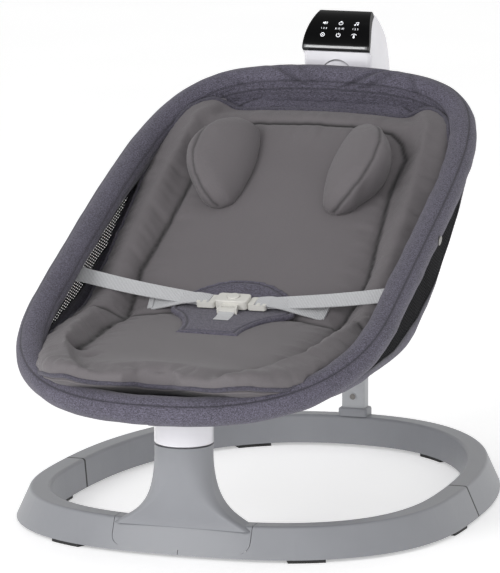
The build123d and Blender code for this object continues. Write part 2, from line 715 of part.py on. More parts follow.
with BuildPart() as front_pivot_bracket:
    add(front_clamp.part.solids().sort_by(SortBy.VOLUME)[-1])
save(front_pivot_bracket, "front_pivot_bracket")

with BuildPart() as front_shaft_rod:
    with BuildSketch(axis_plane(PILLAR_Y - 10)):
        Circle(SHAFT_RADIUS)
    extrude(amount=56)

with BuildPart() as front_pivot_shaft:
    add(front_shaft_rod.part)
    add(SPINE_KEEP_OUT, mode=Mode.SUBTRACT)
save(front_pivot_shaft, "front_pivot_shaft")

BALL_Y = HOUSING_FACE_Y + 6
REAR_CLAMP_Y = 276.0
REAR_SHAFT_START_Y = 297.0
with BuildPart() as rear_pivot_shaft:
    with BuildSketch(axis_plane(REAR_SHAFT_START_Y)):
        Circle(SHAFT_RADIUS - 0.05)
    extrude(amount=(REAR_SHAFT_END_Y - REAR_SHAFT_START_Y) / AXIS_DIRECTION.Y + 6)
save(rear_pivot_shaft, "rear_pivot_shaft")

with BuildPart() as pivot_cover:
    with Locations(axis_point(BALL_Y)):
        Sphere(BALL_RADIUS)
    with Locations(axis_plane(BALL_Y)):
        Cylinder(SHAFT_RADIUS, 100, mode=Mode.SUBTRACT)
    split(bisect_by=axis_plane(BALL_Y - 9), keep=Keep.TOP)
    split(bisect_by=axis_plane(BALL_Y + 9), keep=Keep.BOTTOM)
save(pivot_cover, "pivot_cover")

with BuildPart() as rear_pivot_bracket:
    with BuildSketch(axis_plane(REAR_CLAMP_Y)):
        Circle(14)
    extrude(amount=(BALL_Y - REAR_CLAMP_Y) / AXIS_DIRECTION.Y - 11)
    add(tube_ends.part, mode=Mode.SUBTRACT)
    add(SPINE_KEEP_OUT, mode=Mode.SUBTRACT)
    with Locations(axis_plane(REAR_SHAFT_START_Y)):
        Cylinder(SHAFT_RADIUS, 100, align=(Align.CENTER, Align.CENTER, Align.MIN), mode=Mode.SUBTRACT)
save(rear_pivot_bracket, "rear_pivot_bracket")

# Notches in the fabric: the spine runs up to both ends of the rim, the rear pivot passes below its head end
with BuildPart() as fabric_notches:
    with Locations(axis_plane(REAR_CLAMP_Y)):
        Cylinder(14.4, 80, align=(Align.CENTER, Align.CENTER, Align.MIN))
    with Locations(axis_point(BALL_Y)):
        Sphere(BALL_RADIUS + RUNNING_GAP)
    for near, far in (SPINE_POINTS[:2], SPINE_POINTS[-1:-3:-1]):
        run = (0, far[0] - near[0], far[1] - near[1])
        with Locations(Plane(origin=(0, *near), z_dir=run)):
            Cylinder(SPINE_RADIUS + 1, 39, align=(Align.CENTER, Align.CENTER, Align.MIN))

# Rim cover: a padded fabric roll on the tubes
with BuildPart() as rim_cover:
    add(RIM_ROLL)
    add(fabric_notches.part, mode=Mode.SUBTRACT)
save(rim_cover, "rim_cover")


def seat_floor(y):
    """Height of the seat's floor on the centre line: a level pan bending up into the back."""
    run = y - CREASE_Y
    pan = CREASE_Z + run * math.tan(math.radians(PAN_SLOPE))
    back = CREASE_Z + run * math.tan(math.radians(BACK_SLOPE))
    floor = (pan + back + math.sqrt((pan - back) ** 2 + CREASE_SOFTNESS ** 2)) / 2
    return floor + 45 * (max(0, y - 245) / 31) ** 2


def trough(y):
    """Section of the sling at a given Y: two walls, round lower corners and a flat floor."""
    half, rim_z = rim_side(y)
    half += SLING_OVERHANG
    floor = seat_floor(y) - PAD_GAP / 2 - SLING_THICKNESS
    top = max(rim_z, floor + 16)
    corner = min(SLING_CORNER + 0.1 * max(0, 20 - y), 0.7 * (top - floor), 0.6 * half)
    skin = SLING_THICKNESS
    lean = corner * math.sqrt(0.5)
    inner = corner - skin
    slant = inner * math.sqrt(0.5)
    middle = half - corner
    with BuildSketch(Plane.XZ.offset(-y)) as section:
        with BuildLine():
            Line((-half, top), (-half, floor + corner))
            ThreePointArc((-half, floor + corner), (-middle - lean, floor + corner - lean), (-middle, floor))
            Line((-middle, floor), (middle, floor))
            ThreePointArc((middle, floor), (middle + lean, floor + corner - lean), (half, floor + corner))
            Line((half, floor + corner), (half, top))
            Line((half, top), (half - skin, top))
            Line((half - skin, top), (half - skin, floor + corner))
            ThreePointArc(
                (half - skin, floor + corner),
                (middle + slant, floor + corner - slant),
                (middle, floor + skin),
            )
            Line((middle, floor + skin), (-middle, floor + skin))
            ThreePointArc(
                (-middle, floor + skin),
                (-middle - slant, floor + corner - slant),
                (-half + skin, floor + corner),
            )
            Line((-half + skin, floor + corner), (-half + skin, top))
            Line((-half + skin, top), (-half, top))
        make_face()
    return section.sketch


SLING_STATIONS = (-390, -372, -345, -300, -235, -160, -105, -60, 0, 80, 160, 215, 245, 262, 274)
with BuildPart() as sling_trough:
    loft([trough(y) for y in SLING_STATIONS])
    add(RIM_KEEP_OUT, mode=Mode.SUBTRACT)
    add(fabric_notches.part, mode=Mode.SUBTRACT)

# Mesh windows: the upper part of the side walls, above a curved seam
with BuildPart() as mesh_region:
    with BuildSketch(Plane.YZ):
        with BuildLine():
            Spline((-252, 236), (-160, 249), (-60, 278), (34, 322), (110, 372), (176, 424))
            Polyline((176, 424), (176, 480), (-252, 320), (-252, 236))
        make_face()
    extrude(amount=HALF_SPAN, both=True)

for name, side in (("mesh_right", Keep.TOP), ("mesh_left", Keep.BOTTOM)):
    with BuildPart() as mesh_window:
        add(sling_trough.part)
        add(mesh_region.part, mode=Mode.INTERSECT)
        split(bisect_by=Plane.YZ, keep=side)
    save(mesh_window, name)

with BuildPart() as sling_rest:
    add(sling_trough.part)
    add(mesh_region.part, mode=Mode.SUBTRACT)
with BuildPart() as sling:
    add(sling_rest.part.solids().sort_by(SortBy.VOLUME)[-1])
save(sling, "sling")


def pad_share(y):
    """How full the pad is at a given Y: 1 in the middle, less towards its drawn-in ends."""
    from_head = (PAD_HEAD_Y - y) / 60
    from_foot = (y - PAD_FOOT_Y) / 70
    head = max(min(from_head, 1.0), 0.0)
    foot = max(min(from_foot, 1.0), 0.0)
    return min(0.6 + 0.4 * math.sqrt(head * (2 - head)), 0.35 + 0.65 * math.sqrt(foot * (2 - foot)))


def pad_half_width(y):
    """Half width of the pad: round at the foot, a little narrower at the head."""
    from_foot = min((y - PAD_FOOT_Y) / 260, 1.0)
    from_head = min((PAD_HEAD_Y - y) / 120, 1.0)
    foot_share = math.sqrt(1 - (1 - from_foot) ** 2.2)
    head_share = math.sqrt(1 - (1 - from_head) ** 2.6)
    foot = PAD_FOOT_HALF_WIDTH + (PAD_HALF_WIDTH - PAD_FOOT_HALF_WIDTH) * foot_share
    head = PAD_HEAD_HALF_WIDTH + (PAD_HALF_WIDTH - PAD_HEAD_HALF_WIDTH) * head_share
    return min(foot, head)


def pad_section(y):
    """Section of the pad: flat below, a roll along each edge, a channel inside it and a crowned middle."""
    half = pad_half_width(y)
    share = pad_share(y)
    steep = math.radians(BACK_SLOPE if y > CREASE_Y else PAN_SLOPE)
    thick = PAD_THICKNESS / math.cos(steep) * share
    floor = seat_floor(y) + PAD_GAP + PAD_FOOT_LIFT * (max(0, -330 - y) / 82) ** 2
    side = floor + PAD_EDGE_RISE * share
    channel = PAD_CHANNEL * half
    dip = floor + thick - 4 * share
    base = half - 48 * share - 6
    hip = (base + 0.72 * (half - base), floor + 9 * share)
    roll = (channel + 0.55 * (half - channel), floor + thick + PAD_ROLL_RISE * share)
    with BuildSketch(Plane.XZ.offset(-y)) as section:
        with BuildLine():
            Line((-base, floor), (base, floor))
            ThreePointArc((base, floor), hip, (half, side))
            ThreePointArc((half, side), roll, (channel, dip))
            ThreePointArc((channel, dip), (0, dip + PAD_CROWN * share), (-channel, dip))
            ThreePointArc((-channel, dip), (-roll[0], roll[1]), (-half, side))
            ThreePointArc((-half, side), (-hip[0], hip[1]), (-base, floor))
        make_face()
    return section.sketch


PAD_STATIONS = (-412, -402, -380, -345, -290, -220, -150, -100, -60, 0, 80, 160, 215, 244, 258)
with BuildPart() as pad_form:
    loft([pad_section(y) for y in PAD_STATIONS])

# The pad is cut round the rim, slotted for the crotch webbing and notched at its foot
SLOT_Y = -207.0
NOTCH_RADIUS = 42.0
with BuildPart() as pad_fitted:
    add(pad_form.part)
    add(RIM_KEEP_OUT, mode=Mode.SUBTRACT)
    add(sling_trough.part, mode=Mode.SUBTRACT)
    with BuildSketch(Plane(origin=(0, SLOT_Y, 190))):
        SlotOverall(96, 9)
    extrude(amount=100, mode=Mode.SUBTRACT)
    with Locations((0, PAD_FOOT_Y - NOTCH_RADIUS / 2, CREASE_Z)):
        Cylinder(NOTCH_RADIUS, 100, mode=Mode.SUBTRACT)
with BuildPart() as seat_pad:
    add(pad_fitted.part.solids().sort_by(SortBy.VOLUME)[-1])
save(seat_pad, "seat_pad")

# Head wings: two plump pillows on the back, standing either side of the head
WING_X = 88.0
WING_Y = 126.0
WING_LIFT = 3.4
WING_STEEP = math.radians(BACK_SLOPE)
WING_UP = Vector(0, -math.sin(WING_STEEP), math.cos(WING_STEEP))
WING_BASE_Z = seat_floor(WING_Y) + PAD_GAP + PAD_THICKNESS / math.cos(WING_STEEP) + WING_LIFT
WING_LAYERS = ((0, 0.84, 0), (10, 1.0, 0), (22, 0.98, 4), (36, 0.84, 11), (47, 0.58, 19), (52, 0.36, 23))


def wing_outline(side, height, scale, shift):
    """Outline of a wing at a height over the back: straight towards the head, round outside, leaning out."""
    origin = Vector(side * (WING_X + shift), WING_Y, WING_BASE_Z) + WING_UP * height
    corners = [(x * scale, y * scale) for x, y in ((-28, -67), (-28, 67), (18, 57), (18, -57))]
    crowns = [(x * scale, y * scale) for x, y in ((-37, 0), (-6, 77), (42, 0), (-6, -77))]
    with BuildSketch(Plane(origin=origin, x_dir=(side, 0, 0), z_dir=WING_UP * side)) as outline:
        with BuildLine():
            for index, crown in enumerate(crowns):
                ThreePointArc(corners[index], crown, corners[(index + 1) % 4])
        make_face()
    return outline.sketch


for name, side in (("head_wing_right", 1), ("head_wing_left", -1)):
    with BuildPart() as wing:
        loft([wing_outline(side, *layer) for layer in WING_LAYERS])
    save(wing, name)

# Harness: a padded crotch piece, webbing, and a buckle with two sliding tongues
CROTCH_LINE = ((SLOT_Y - 2, 251.5), (-95, 265), (-48, 293.5))
CROTCH_THICKNESS = 6.0
with BuildPart() as crotch_pad:
    with BuildSketch():
        with BuildLine():
            Line((0, SLOT_Y), (40, SLOT_Y))
            ThreePointArc((40, SLOT_Y), (49, -160), (78, -120))
            ThreePointArc((78, -120), (80, -98), (60, -70))
            ThreePointArc((60, -70), (32, -55), (0, -50))
            mirror(about=Plane.YZ)
        make_face()
    extrude(amount=2 * CREASE_Z)
    with BuildSketch(Plane.YZ):
        with BuildLine():
            Polyline(*CROTCH_LINE)
            offset(amount=CROTCH_THICKNESS, side=Side.LEFT)
        make_face()
    extrude(amount=100, both=True, mode=Mode.INTERSECT)
save(crotch_pad, "crotch_pad")

TILT = math.radians(BUCKLE_TILT)
BUCKLE_UP = Vector(0, -math.sin(TILT), math.cos(TILT))
BUCKLE_PLANE = Plane(origin=BUCKLE_CENTRE, x_dir=ACROSS, z_dir=BUCKLE_UP)
TONGUE_THICKNESS = 4.0
TONGUE_GAP = 0.5
BUTTON_RADIUS = 8.0

with BuildPart() as buckle_body:
    with BuildSketch(BUCKLE_PLANE):
        RectangleRounded(2 * BUCKLE_HALF_WIDTH, BUCKLE_HEIGHT, 5)
    extrude(amount=BUCKLE_THICKNESS)
    fillet(faces().sort_by(SortBy.AREA)[-1].edges(), radius=1.2)
    with BuildSketch(BUCKLE_PLANE):
        with Locations((0, -BUCKLE_HEIGHT / 2 - 7)):
            Trapezoid(26, 16, 78)
    extrude(amount=7)
    with Locations(BUCKLE_PLANE.offset(BUCKLE_THICKNESS)):
        with Locations((0, 2, 0)):
            bore_align = (Align.CENTER, Align.CENTER, Align.MAX)
            Cylinder(BUTTON_RADIUS + TONGUE_GAP, 7, align=bore_align, mode=Mode.SUBTRACT)
    with Locations(BUCKLE_PLANE.offset(BUCKLE_THICKNESS / 2 - 2)):
        for side in (1, -1):
            with Locations((side * (BUCKLE_HALF_WIDTH - 5), 0, 0)):
                Box(11, 16, TONGUE_THICKNESS + 2 * TONGUE_GAP, mode=Mode.SUBTRACT)
        with Locations((0, -BUCKLE_HEIGHT / 2 - 8, 0)):
            Box(18, 4, 20, mode=Mode.SUBTRACT)
save(buckle_body, "buckle_body")

with BuildPart() as buckle_button:
    with Locations(BUCKLE_PLANE.offset(BUCKLE_THICKNESS + 1.5)):
        with Locations((0, 2, 0)):
            Cylinder(BUTTON_RADIUS, 5, align=(Align.CENTER, Align.CENTER, Align.MAX))
    fillet(edges().group_by(SortBy.LENGTH)[-1].sort_by(Axis.Z)[-1], radius=1.2)
save(buckle_button, "buckle_button")


def strap_plane(side):
    """Plane of a waist strap: X along the strap from its tongue to its end, Y across the webbing."""
    clear = BUCKLE_HALF_WIDTH + TONGUE_REACH + STRAP_GAP
    start = BUCKLE_CENTRE + Vector(side * clear, 0, 0) + BUCKLE_UP * 2.7
    end = Vector(side * STRAP_END.X, STRAP_END.Y, STRAP_END.Z)
    along = (end - start).normalized()
    up = (BUCKLE_UP - along * BUCKLE_UP.dot(along)).normalized()
    return Plane(origin=start, x_dir=along, z_dir=up), (end - start).length


for name, side in (("right", 1), ("left", -1)):
    with BuildPart() as tongue:
        with Locations(BUCKLE_PLANE.offset(BUCKLE_THICKNESS / 2 - 2)):
            with Locations((side * (BUCKLE_HALF_WIDTH + 2), 0, 0)):
                Box(2 * 11, 15, TONGUE_THICKNESS)
        with BuildSketch(BUCKLE_PLANE):
            with Locations((side * (BUCKLE_HALF_WIDTH + TONGUE_GAP + TONGUE_REACH / 2), 0)):
                RectangleRounded(TONGUE_REACH, BUCKLE_HEIGHT, 4)
        extrude(amount=7)
        with Locations(BUCKLE_PLANE.offset(BUCKLE_THICKNESS / 2 - 2)):
            with Locations((side * (BUCKLE_HALF_WIDTH + 10), 0, 0), (side * (BUCKLE_HALF_WIDTH + 18), 0, 0)):
                Box(3.4, WEBBING_WIDTH + 1, 20, mode=Mode.SUBTRACT)
    save(tongue, f"tongue_{name}")

    webbing, reach = strap_plane(side)
    with BuildPart() as strap:
        with BuildSketch(webbing):
            with Locations((reach / 2, 0)):
                Rectangle(reach, WEBBING_WIDTH)
        extrude(amount=WEBBING_THICKNESS)
    save(strap, f"waist_strap_{name}")

# Crotch webbing: from the slot in the pad, over the crotch piece to the buckle
CROTCH_SLOPE = math.atan2(CROTCH_LINE[1][1] - CROTCH_LINE[0][1], CROTCH_LINE[1][0] - CROTCH_LINE[0][0])
CROTCH_UP = Vector(0, -math.sin(CROTCH_SLOPE), math.cos(CROTCH_SLOPE))
CROTCH_STRAP_LENGTH = 72.0
with BuildPart() as crotch_strap:
    strap_base = Vector(0, *CROTCH_LINE[0]) + CROTCH_UP * (CROTCH_THICKNESS + 0.2)
    with BuildSketch(Plane(origin=strap_base, x_dir=ACROSS, z_dir=CROTCH_UP)):
        with Locations((0, CROTCH_STRAP_LENGTH / 2)):
            Rectangle(WEBBING_WIDTH, CROTCH_STRAP_LENGTH)
    extrude(amount=WEBBING_THICKNESS)
save(crotch_strap, "crotch_strap")

# Snap fasteners on the rim's outer side
SNAP_Y = -10.0
SNAP_RADIUS = 6.0
SNAP_HEIGHT = 1.4
SNAP_LEAN = math.radians(-10)
with BuildPart() as snap_fasteners:
    snap_x, snap_z = rim_side(SNAP_Y)
    for side in (1, -1):
        outwards = Vector(side * math.cos(SNAP_LEAN), 0, math.sin(SNAP_LEAN))
        spot = Vector(side * snap_x, SNAP_Y, snap_z) + outwards * (RIM_ROLL_RADIUS + SNAP_HEIGHT)
        with Locations(Plane(origin=spot, z_dir=outwards)):
            Cylinder(SNAP_RADIUS, SNAP_RADIUS, align=(Align.CENTER, Align.CENTER, Align.MAX))
    add(RIM_KEEP_OUT, mode=Mode.SUBTRACT)
save(snap_fasteners, "snap_fasteners")

# Housing screws, from behind through the rear shell
with BuildPart() as housing_screws:
    with Locations(REAR_FACE.offset(0.05)):
        with Locations(*SCREW_SPOTS):
            Cylinder(SCREW_RADIUS, 24, align=(Align.CENTER, Align.CENTER, Align.MAX))
            Cylinder(SCREW_RADIUS + 2, 1.6, align=(Align.CENTER, Align.CENTER, Align.MIN))
save(housing_screws, "housing_screws")
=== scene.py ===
"""Looks of an electric baby swing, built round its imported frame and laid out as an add-on."""

import json
import math

import bpy
import numpy as np
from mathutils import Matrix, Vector


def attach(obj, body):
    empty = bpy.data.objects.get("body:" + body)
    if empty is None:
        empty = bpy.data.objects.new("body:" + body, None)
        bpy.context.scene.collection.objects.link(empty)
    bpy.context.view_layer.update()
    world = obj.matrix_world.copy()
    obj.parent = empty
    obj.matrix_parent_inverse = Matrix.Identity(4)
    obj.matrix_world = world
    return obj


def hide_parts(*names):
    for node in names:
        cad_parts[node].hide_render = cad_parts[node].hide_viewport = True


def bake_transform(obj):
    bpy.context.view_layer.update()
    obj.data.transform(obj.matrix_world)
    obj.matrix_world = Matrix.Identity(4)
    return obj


bl_info = {
    "name": "Baby Swing Looks",
    "version": (1, 0, 0),
    "blender": (4, 5, 0),
    "location": "View3D > Sidebar > Baby Swing",
    "description": "Fabric, padding, harness and finishes of an electric baby swing",
    "category": "Object",
}

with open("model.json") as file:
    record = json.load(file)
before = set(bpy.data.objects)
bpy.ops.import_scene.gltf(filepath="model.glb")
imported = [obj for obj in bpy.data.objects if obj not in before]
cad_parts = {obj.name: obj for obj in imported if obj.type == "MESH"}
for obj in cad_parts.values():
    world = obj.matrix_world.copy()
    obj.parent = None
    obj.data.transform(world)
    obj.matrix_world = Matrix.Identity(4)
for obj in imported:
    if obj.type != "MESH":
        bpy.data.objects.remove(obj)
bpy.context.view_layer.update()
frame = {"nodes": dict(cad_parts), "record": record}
NODES = frame["nodes"]

# The seat rim's centre line and the seat's floor, in metres, as the frame has them
RIM_HALF_WIDTH = 0.2188
RIM_FOOT_DEPTH = 0.2436
RIM_HEAD_DEPTH = 0.5092
RIM_FOOT_POWER = 2.3
RIM_HEAD_POWER = 5.27
RIM_CENTRE = np.array((0.0, -0.1845, 0.3064))
RIM_SLOPE = math.radians(25.08)
RIM_LENGTH_SAG = -0.0564
RIM_SIDE_SAG = -0.5486
RIM_UP = np.array((0.0, -math.sin(RIM_SLOPE), math.cos(RIM_SLOPE)))
CREASE_Y = -0.081
CREASE_Z = 0.222
PAN_SLOPE = math.radians(3.5)
BACK_SLOPE = math.radians(34.0)
BACK_UP = np.array((0.0, -math.sin(BACK_SLOPE), math.cos(BACK_SLOPE)))
BACK_ALONG = np.array((0.0, math.cos(BACK_SLOPE), math.sin(BACK_SLOPE)))
FLOOR_BLEND = 0.02
HEAD_BEND_Y = 0.245
HEAD_BEND_RUN = 0.031
HEAD_BEND_RISE = 0.045
# Where the ring's side arcs meet its rear arc, and half the width of the dark joint
RING_JOINT_Y = 0.0095
PARTING_REACH = 0.0024
# The pad's place under the head wings, and theirs on it
PAD_GAP = 0.002
PAD_THICKNESS = 0.030
WING_LIFT = 0.0034
WING_X = 0.088
WING_Y = 0.126
# The wing's ridge seam: outwards, up along the back and over the back
WING_RIDGE = (
    (-0.010, 0.074, 0.012),
    (0.006, 0.064, 0.028),
    (0.022, 0.044, 0.042),
    (0.032, 0.016, 0.050),
    (0.032, -0.016, 0.050),
    (0.022, -0.044, 0.042),
    (0.006, -0.064, 0.028),
    (-0.010, -0.074, 0.012),
)


def length_setting(name, description, default):
    return bpy.props.FloatProperty(name=name, description=description, default=default, unit="LENGTH")


def colour_setting(name, description, default):
    return bpy.props.FloatVectorProperty(
        name=name, description=description, subtype="COLOR", size=3, default=default
    )


class SwingSizes(bpy.types.PropertyGroup):
    """Sizes of the soft pieces."""

    roll_radius: length_setting("Rim roll", "Radius of the padded roll on the rim", 0.0178)
    roll_pucker: length_setting("Rim pucker", "Depth of the folds in the rim's cover", 0.0009)
    sling_skin: length_setting("Sling cloth", "Thickness of the sling's cloth", 0.0024)
    pad_rise: length_setting("Pad plumpness", "How far the filling may lift the pad's cover", 0.007)
    pad_half_width: length_setting("Pad half width", "Half the width of the filled pad", 0.2035)
    pad_head_gap: length_setting("Pad head gap", "How far the pad's head edge lies below the roll", 0.012)
    pad_pucker: length_setting("Pad puckers", "Height of the folds along the pad's seams", 0.0017)
    channel_depth: length_setting("Channel depth", "Depth of the pad's sewn channels", 0.008)
    webbing_width: length_setting("Webbing", "Width of the harness webbing", 0.020)
    webbing_skin: length_setting("Webbing thickness", "Thickness of the harness webbing", 0.0015)


class SwingColours(bpy.types.PropertyGroup):
    """Colours of the finishes."""

    melange: colour_setting("Melange", "Outer cloth", (0.080, 0.074, 0.101))
    pad: colour_setting("Pad", "Pad and head wings", (0.134, 0.123, 0.130))
    mesh: colour_setting("Mesh", "Side windows", (0.008, 0.008, 0.009))
    webbing: colour_setting("Webbing", "Harness straps", (0.53, 0.535, 0.55))
    buckle: colour_setting("Buckle", "Buckle and adjusters", (0.66, 0.65, 0.61))
    base: colour_setting("Base", "Ring and pedestal", (0.242, 0.248, 0.266))
    shell: colour_setting("Housing", "Hub and drive housing", (0.74, 0.73, 0.77))
    post: colour_setting("Post", "Rear post", (0.40, 0.41, 0.425))


class Value:
    """A number in a shader tree. Sums and products of values add Math nodes."""

    def __init__(self, finish, socket):
        self.finish = finish
        self.socket = socket

    def _maths(self, operation, first, second=0.0):
        node = self.finish.node("ShaderNodeMath", {"operation": operation}, {0: first, 1: second})
        return Value(self.finish, node.outputs[0])

    def __add__(self, other):
        return self._maths("ADD", self, other)

    __radd__ = __add__

    def __sub__(self, other):
        return self._maths("SUBTRACT", self, other)

    def __rsub__(self, other):
        return self._maths("SUBTRACT", other, self)

    def __mul__(self, other):
        return self._maths("MULTIPLY", self, other)

    def wave(self):
        return self._maths("SINE", self)

    def above(self, limit):
        return self._maths("GREATER_THAN", self, limit)

    def clamped(self):
        node = self.finish.node("ShaderNodeClamp", {}, {0: self})
        return Value(self.finish, node.outputs[0])


class Finish:
    """One material and its nodes."""

    def __init__(self, name):
        self.material = bpy.data.materials.new(name)
        self.material.use_nodes = True
        self.tree = self.material.node_tree
        self.shader = self.tree.nodes["Principled BSDF"]
        self.place = self.node("ShaderNodeTexCoord").outputs["Object"]

    def node(self, kind, settings=None, sockets=None):
        made = self.tree.nodes.new(kind)
        for key, setting in (settings or {}).items():
            setattr(made, key, setting)
        for key, value in (sockets or {}).items():
            self.put(made.inputs[key], value)
        return made

    def put(self, socket, value):
        if isinstance(value, Value):
            value = value.socket
        if isinstance(value, bpy.types.NodeSocket):
            self.tree.links.new(value, socket)
        elif hasattr(value, "__len__") and len(value) == 3 and socket.type == "RGBA":
            socket.default_value = (*value, 1.0)
        else:
            socket.default_value = value

    def stretched(self, scale):
        return self.node("ShaderNodeMapping", {}, {"Vector": self.place, "Scale": scale}).outputs[0]

    def noise(self, scale, detail=2.0, place=None):
        sockets = {"Vector": place or self.place, "Scale": scale, "Detail": detail}
        return Value(self, self.node("ShaderNodeTexNoise", {}, sockets).outputs["Fac"])

    def axis(self, name, place=None):
        node = self.node("ShaderNodeSeparateXYZ", {}, {0: place or self.place})
        return Value(self, node.outputs[name])

    def attribute(self, name):
        return Value(self, self.node("ShaderNodeAttribute", {"attribute_name": name}).outputs["Fac"])

    def blend(self, share, first, second):
        node = self.node("ShaderNodeMix", {"data_type": "RGBA"}, {0: share, 6: first, 7: second})
        return node.outputs[2]

    def bump(self, height, depth, strength):
        sockets = {"Height": height, "Distance": depth, "Strength": strength}
        return self.node("ShaderNodeBump", {}, sockets).outputs[0]

    def surface(self, **sockets):
        for key, value in sockets.items():
            self.put(self.shader.inputs[key.replace("_", " ").title().replace("Ior", "IOR")], value)
        return self.material


def tinted(colour, factor):
    return tuple(min(channel * factor, 1.0) for channel in colour)


def melange_cloth(colours):
    """Slate outer cloth: two shades of yarn crossing, with slubs."""
    cloth = Finish("melange_cloth")
    along = cloth.noise(1.0, 2.0, cloth.stretched((260, 1500, 900)))
    across = cloth.noise(1.0, 2.0, cloth.stretched((1500, 260, 900)))
    speck = cloth.noise(620, 3.0)
    patch = cloth.noise(14)
    yarn = (along * 0.36 + across * 0.36 + speck * 0.28 - 0.5) * 5.0 + 0.5
    shade = (yarn + (patch - 0.5) * 0.3).clamped()
    colour = cloth.blend(shade, tinted(colours.melange, 0.42), tinted(colours.melange, 1.75))
    # Darker along the seam mark: the sewn lines, and painted shade in the valleys of the rim's folds
    sewn_and_shaded = cloth.blend(cloth.attribute("seam"), colour, tinted(colours.melange, 0.28))
    weave = (cloth.axis("X") * 4200).wave() * (cloth.axis("Y") * 4200).wave()
    height = cloth.bump(weave * 0.25 + along * 0.5 + across * 0.5, 0.0006, 0.55)
    cloth.surface(sheen_weight=0.12, sheen_roughness=0.5)
    return cloth.surface(base_color=sewn_and_shaded, roughness=0.86 + speck * 0.1, normal=height)


def pad_cloth(colours):
    """Warm grey plain weave, brushed soft."""
    cloth = Finish("pad_cloth")
    thread = (cloth.axis("X") * 5200).wave() * (cloth.axis("Y") * 5200).wave()
    yarn = cloth.noise(1.0, 2.0, cloth.stretched((700, 1300, 900)))
    patch = cloth.noise(9, 3.0)
    shade = ((yarn - 0.5) + (patch - 0.5) * 0.5 + 0.5).clamped()
    colour = cloth.blend(shade, tinted(colours.pad, 0.84), tinted(colours.pad, 1.16))
    # Near black along the seam mark: the sewn lines, and painted shade in the grooves they pull in
    seams_and_shade = cloth.blend(cloth.attribute("seam"), colour, tinted(colours.pad, 0.1))
    height = cloth.bump(thread * 0.35 + yarn, 0.0003, 0.5)
    cloth.surface(sheen_weight=0.12, sheen_roughness=0.45)
    return cloth.surface(base_color=seams_and_shade, roughness=0.82 + yarn * 0.12, normal=height)


def net_cloth(colours):
    """Black warp-knit net with rows of small open holes."""
    net = Finish("net_cloth")
    along = net.axis("Y") + net.axis("X") * 0.5
    rise = net.axis("Z")
    knit = (along * 600).wave() * (rise * 1500).wave()
    yarn = net.noise(900)
    thread = (knit * 0.5 + 0.5).clamped()
    colour = net.blend(yarn, tinted(colours.mesh, 0.5), tinted(colours.mesh, 2.0))
    height = net.bump(1 - thread, 0.0006, 0.7)
    holes = knit.above(0.62)
    net.surface(specular_ior_level=0.05)
    return net.surface(base_color=colour, roughness=0.6 + yarn * 0.2, normal=height, alpha=1 - holes)


def webbing_cloth(colours):
    """Pale ribbed webbing: cross ribs between two woven edges, drawn on the strap's own map."""
    strap = Finish("webbing_cloth")
    own = strap.node("ShaderNodeUVMap").outputs[0]
    rib = (strap.axis("Y", own) * 3300).wave() * 0.5 + 0.5
    lane = (strap.axis("X", own) * 3600).wave() * 0.5 + 0.5
    fuzz = strap.noise(500)
    shade = (rib * 0.6 + lane * 0.15 + fuzz * 0.35).clamped()
    colour = strap.blend(shade, tinted(colours.webbing, 0.58), tinted(colours.webbing, 1.22))
    height = strap.bump(rib * 0.75 + lane * 0.25, 0.0006, 0.8)
    return strap.surface(base_color=colour, roughness=0.6 + fuzz * 0.2, normal=height, sheen_weight=0.2)


def moulded(name, colour, roughness, grain, coat=0.0, specular=0.5, parting=None):
    """Moulded plastic: a fine eroded grain, faint flow marks, and a dark joint across a given Y."""
    plastic = Finish(name)
    grains = plastic.noise(1500)
    cloud = plastic.noise(22, 3.0)
    tone = plastic.blend(cloud, tinted(colour, 0.94), tinted(colour, 1.06))
    if parting is not None:
        across = plastic.axis("Y") - parting
        clear = (across * across).above(PARTING_REACH ** 2)
        tone = plastic.blend(clear, tinted(colour, 0.03), tone)
    height = plastic.bump(grains, 0.0002, grain)
    plastic.surface(coat_weight=coat, coat_roughness=0.08, specular_ior_level=specular)
    gloss = (cloud - 0.5) * 0.08 + (grains - 0.5) * 0.06 + roughness
    return plastic.surface(base_color=tone, roughness=gloss, normal=height)


def metal(name, colour, roughness):
    """Bare metal with fine drawn lines."""
    bare = Finish(name)
    line = bare.noise(1.0, 2.0, bare.stretched((900, 900, 40)))
    tone = bare.blend(line, tinted(colour, 0.82), tinted(colour, 1.1))
    bare.surface(metallic=1.0)
    height = bare.bump(line, 0.0001, 0.3)
    return bare.surface(base_color=tone, roughness=(line - 0.5) * 0.15 + roughness, normal=height)


def printed(name, colour, glow):
    """Backlit print on the touch panel."""
    ink = Finish(name)
    speck = ink.noise(900)
    tone = ink.blend(speck, tinted(colour, 0.85), colour)
    return ink.surface(base_color=tone, roughness=0.4, emission_color=tone, emission_strength=glow)


# Finishes by name; those of rigid pieces carry the frame's material slots
FINISHES = {}


def dress(piece, finish):
    piece.data.materials.clear()
    piece.data.materials.append(FINISHES[finish])


def alone(piece):
    """Select one piece and nothing else."""
    bpy.ops.object.select_all(action="DESELECT")
    piece.select_set(True)
    bpy.context.view_layer.objects.active = piece


def read(items, key):
    """A vector of each item, as rows."""
    flat = np.empty(len(items) * 3)
    items.foreach_get(key, flat)
    return flat.reshape(-1, 3)


def points_of(piece):
    return read(piece.data.vertices, "co")


def normals_of(piece):
    return read(piece.data.vertex_normals, "vector")


def set_points(piece, points):
    piece.data.vertices.foreach_set("co", np.asarray(points, float).ravel())
    piece.data.update()


def mark(piece, name, values):
    layer = piece.data.attributes.get(name) or piece.data.attributes.new(name, "FLOAT", "POINT")
    layer.data.foreach_set("value", np.asarray(values, np.float32))


def marks_of(piece, name):
    values = np.empty(len(piece.data.vertices), np.float32)
    piece.data.attributes[name].data.foreach_get("value", values)
    return values


def modified(piece, kind, **settings):
    """Add a modifier, set it and apply it."""
    alone(piece)
    added = piece.modifiers.new(kind.title(), kind)
    for key, value in settings.items():
        setattr(added, key, value)
    bpy.ops.object.modifier_apply(modifier=added.name)
    return piece


def smooth(piece, angle=60):
    alone(piece)
    bpy.ops.object.shade_smooth_by_angle(angle=math.radians(angle))
    return piece


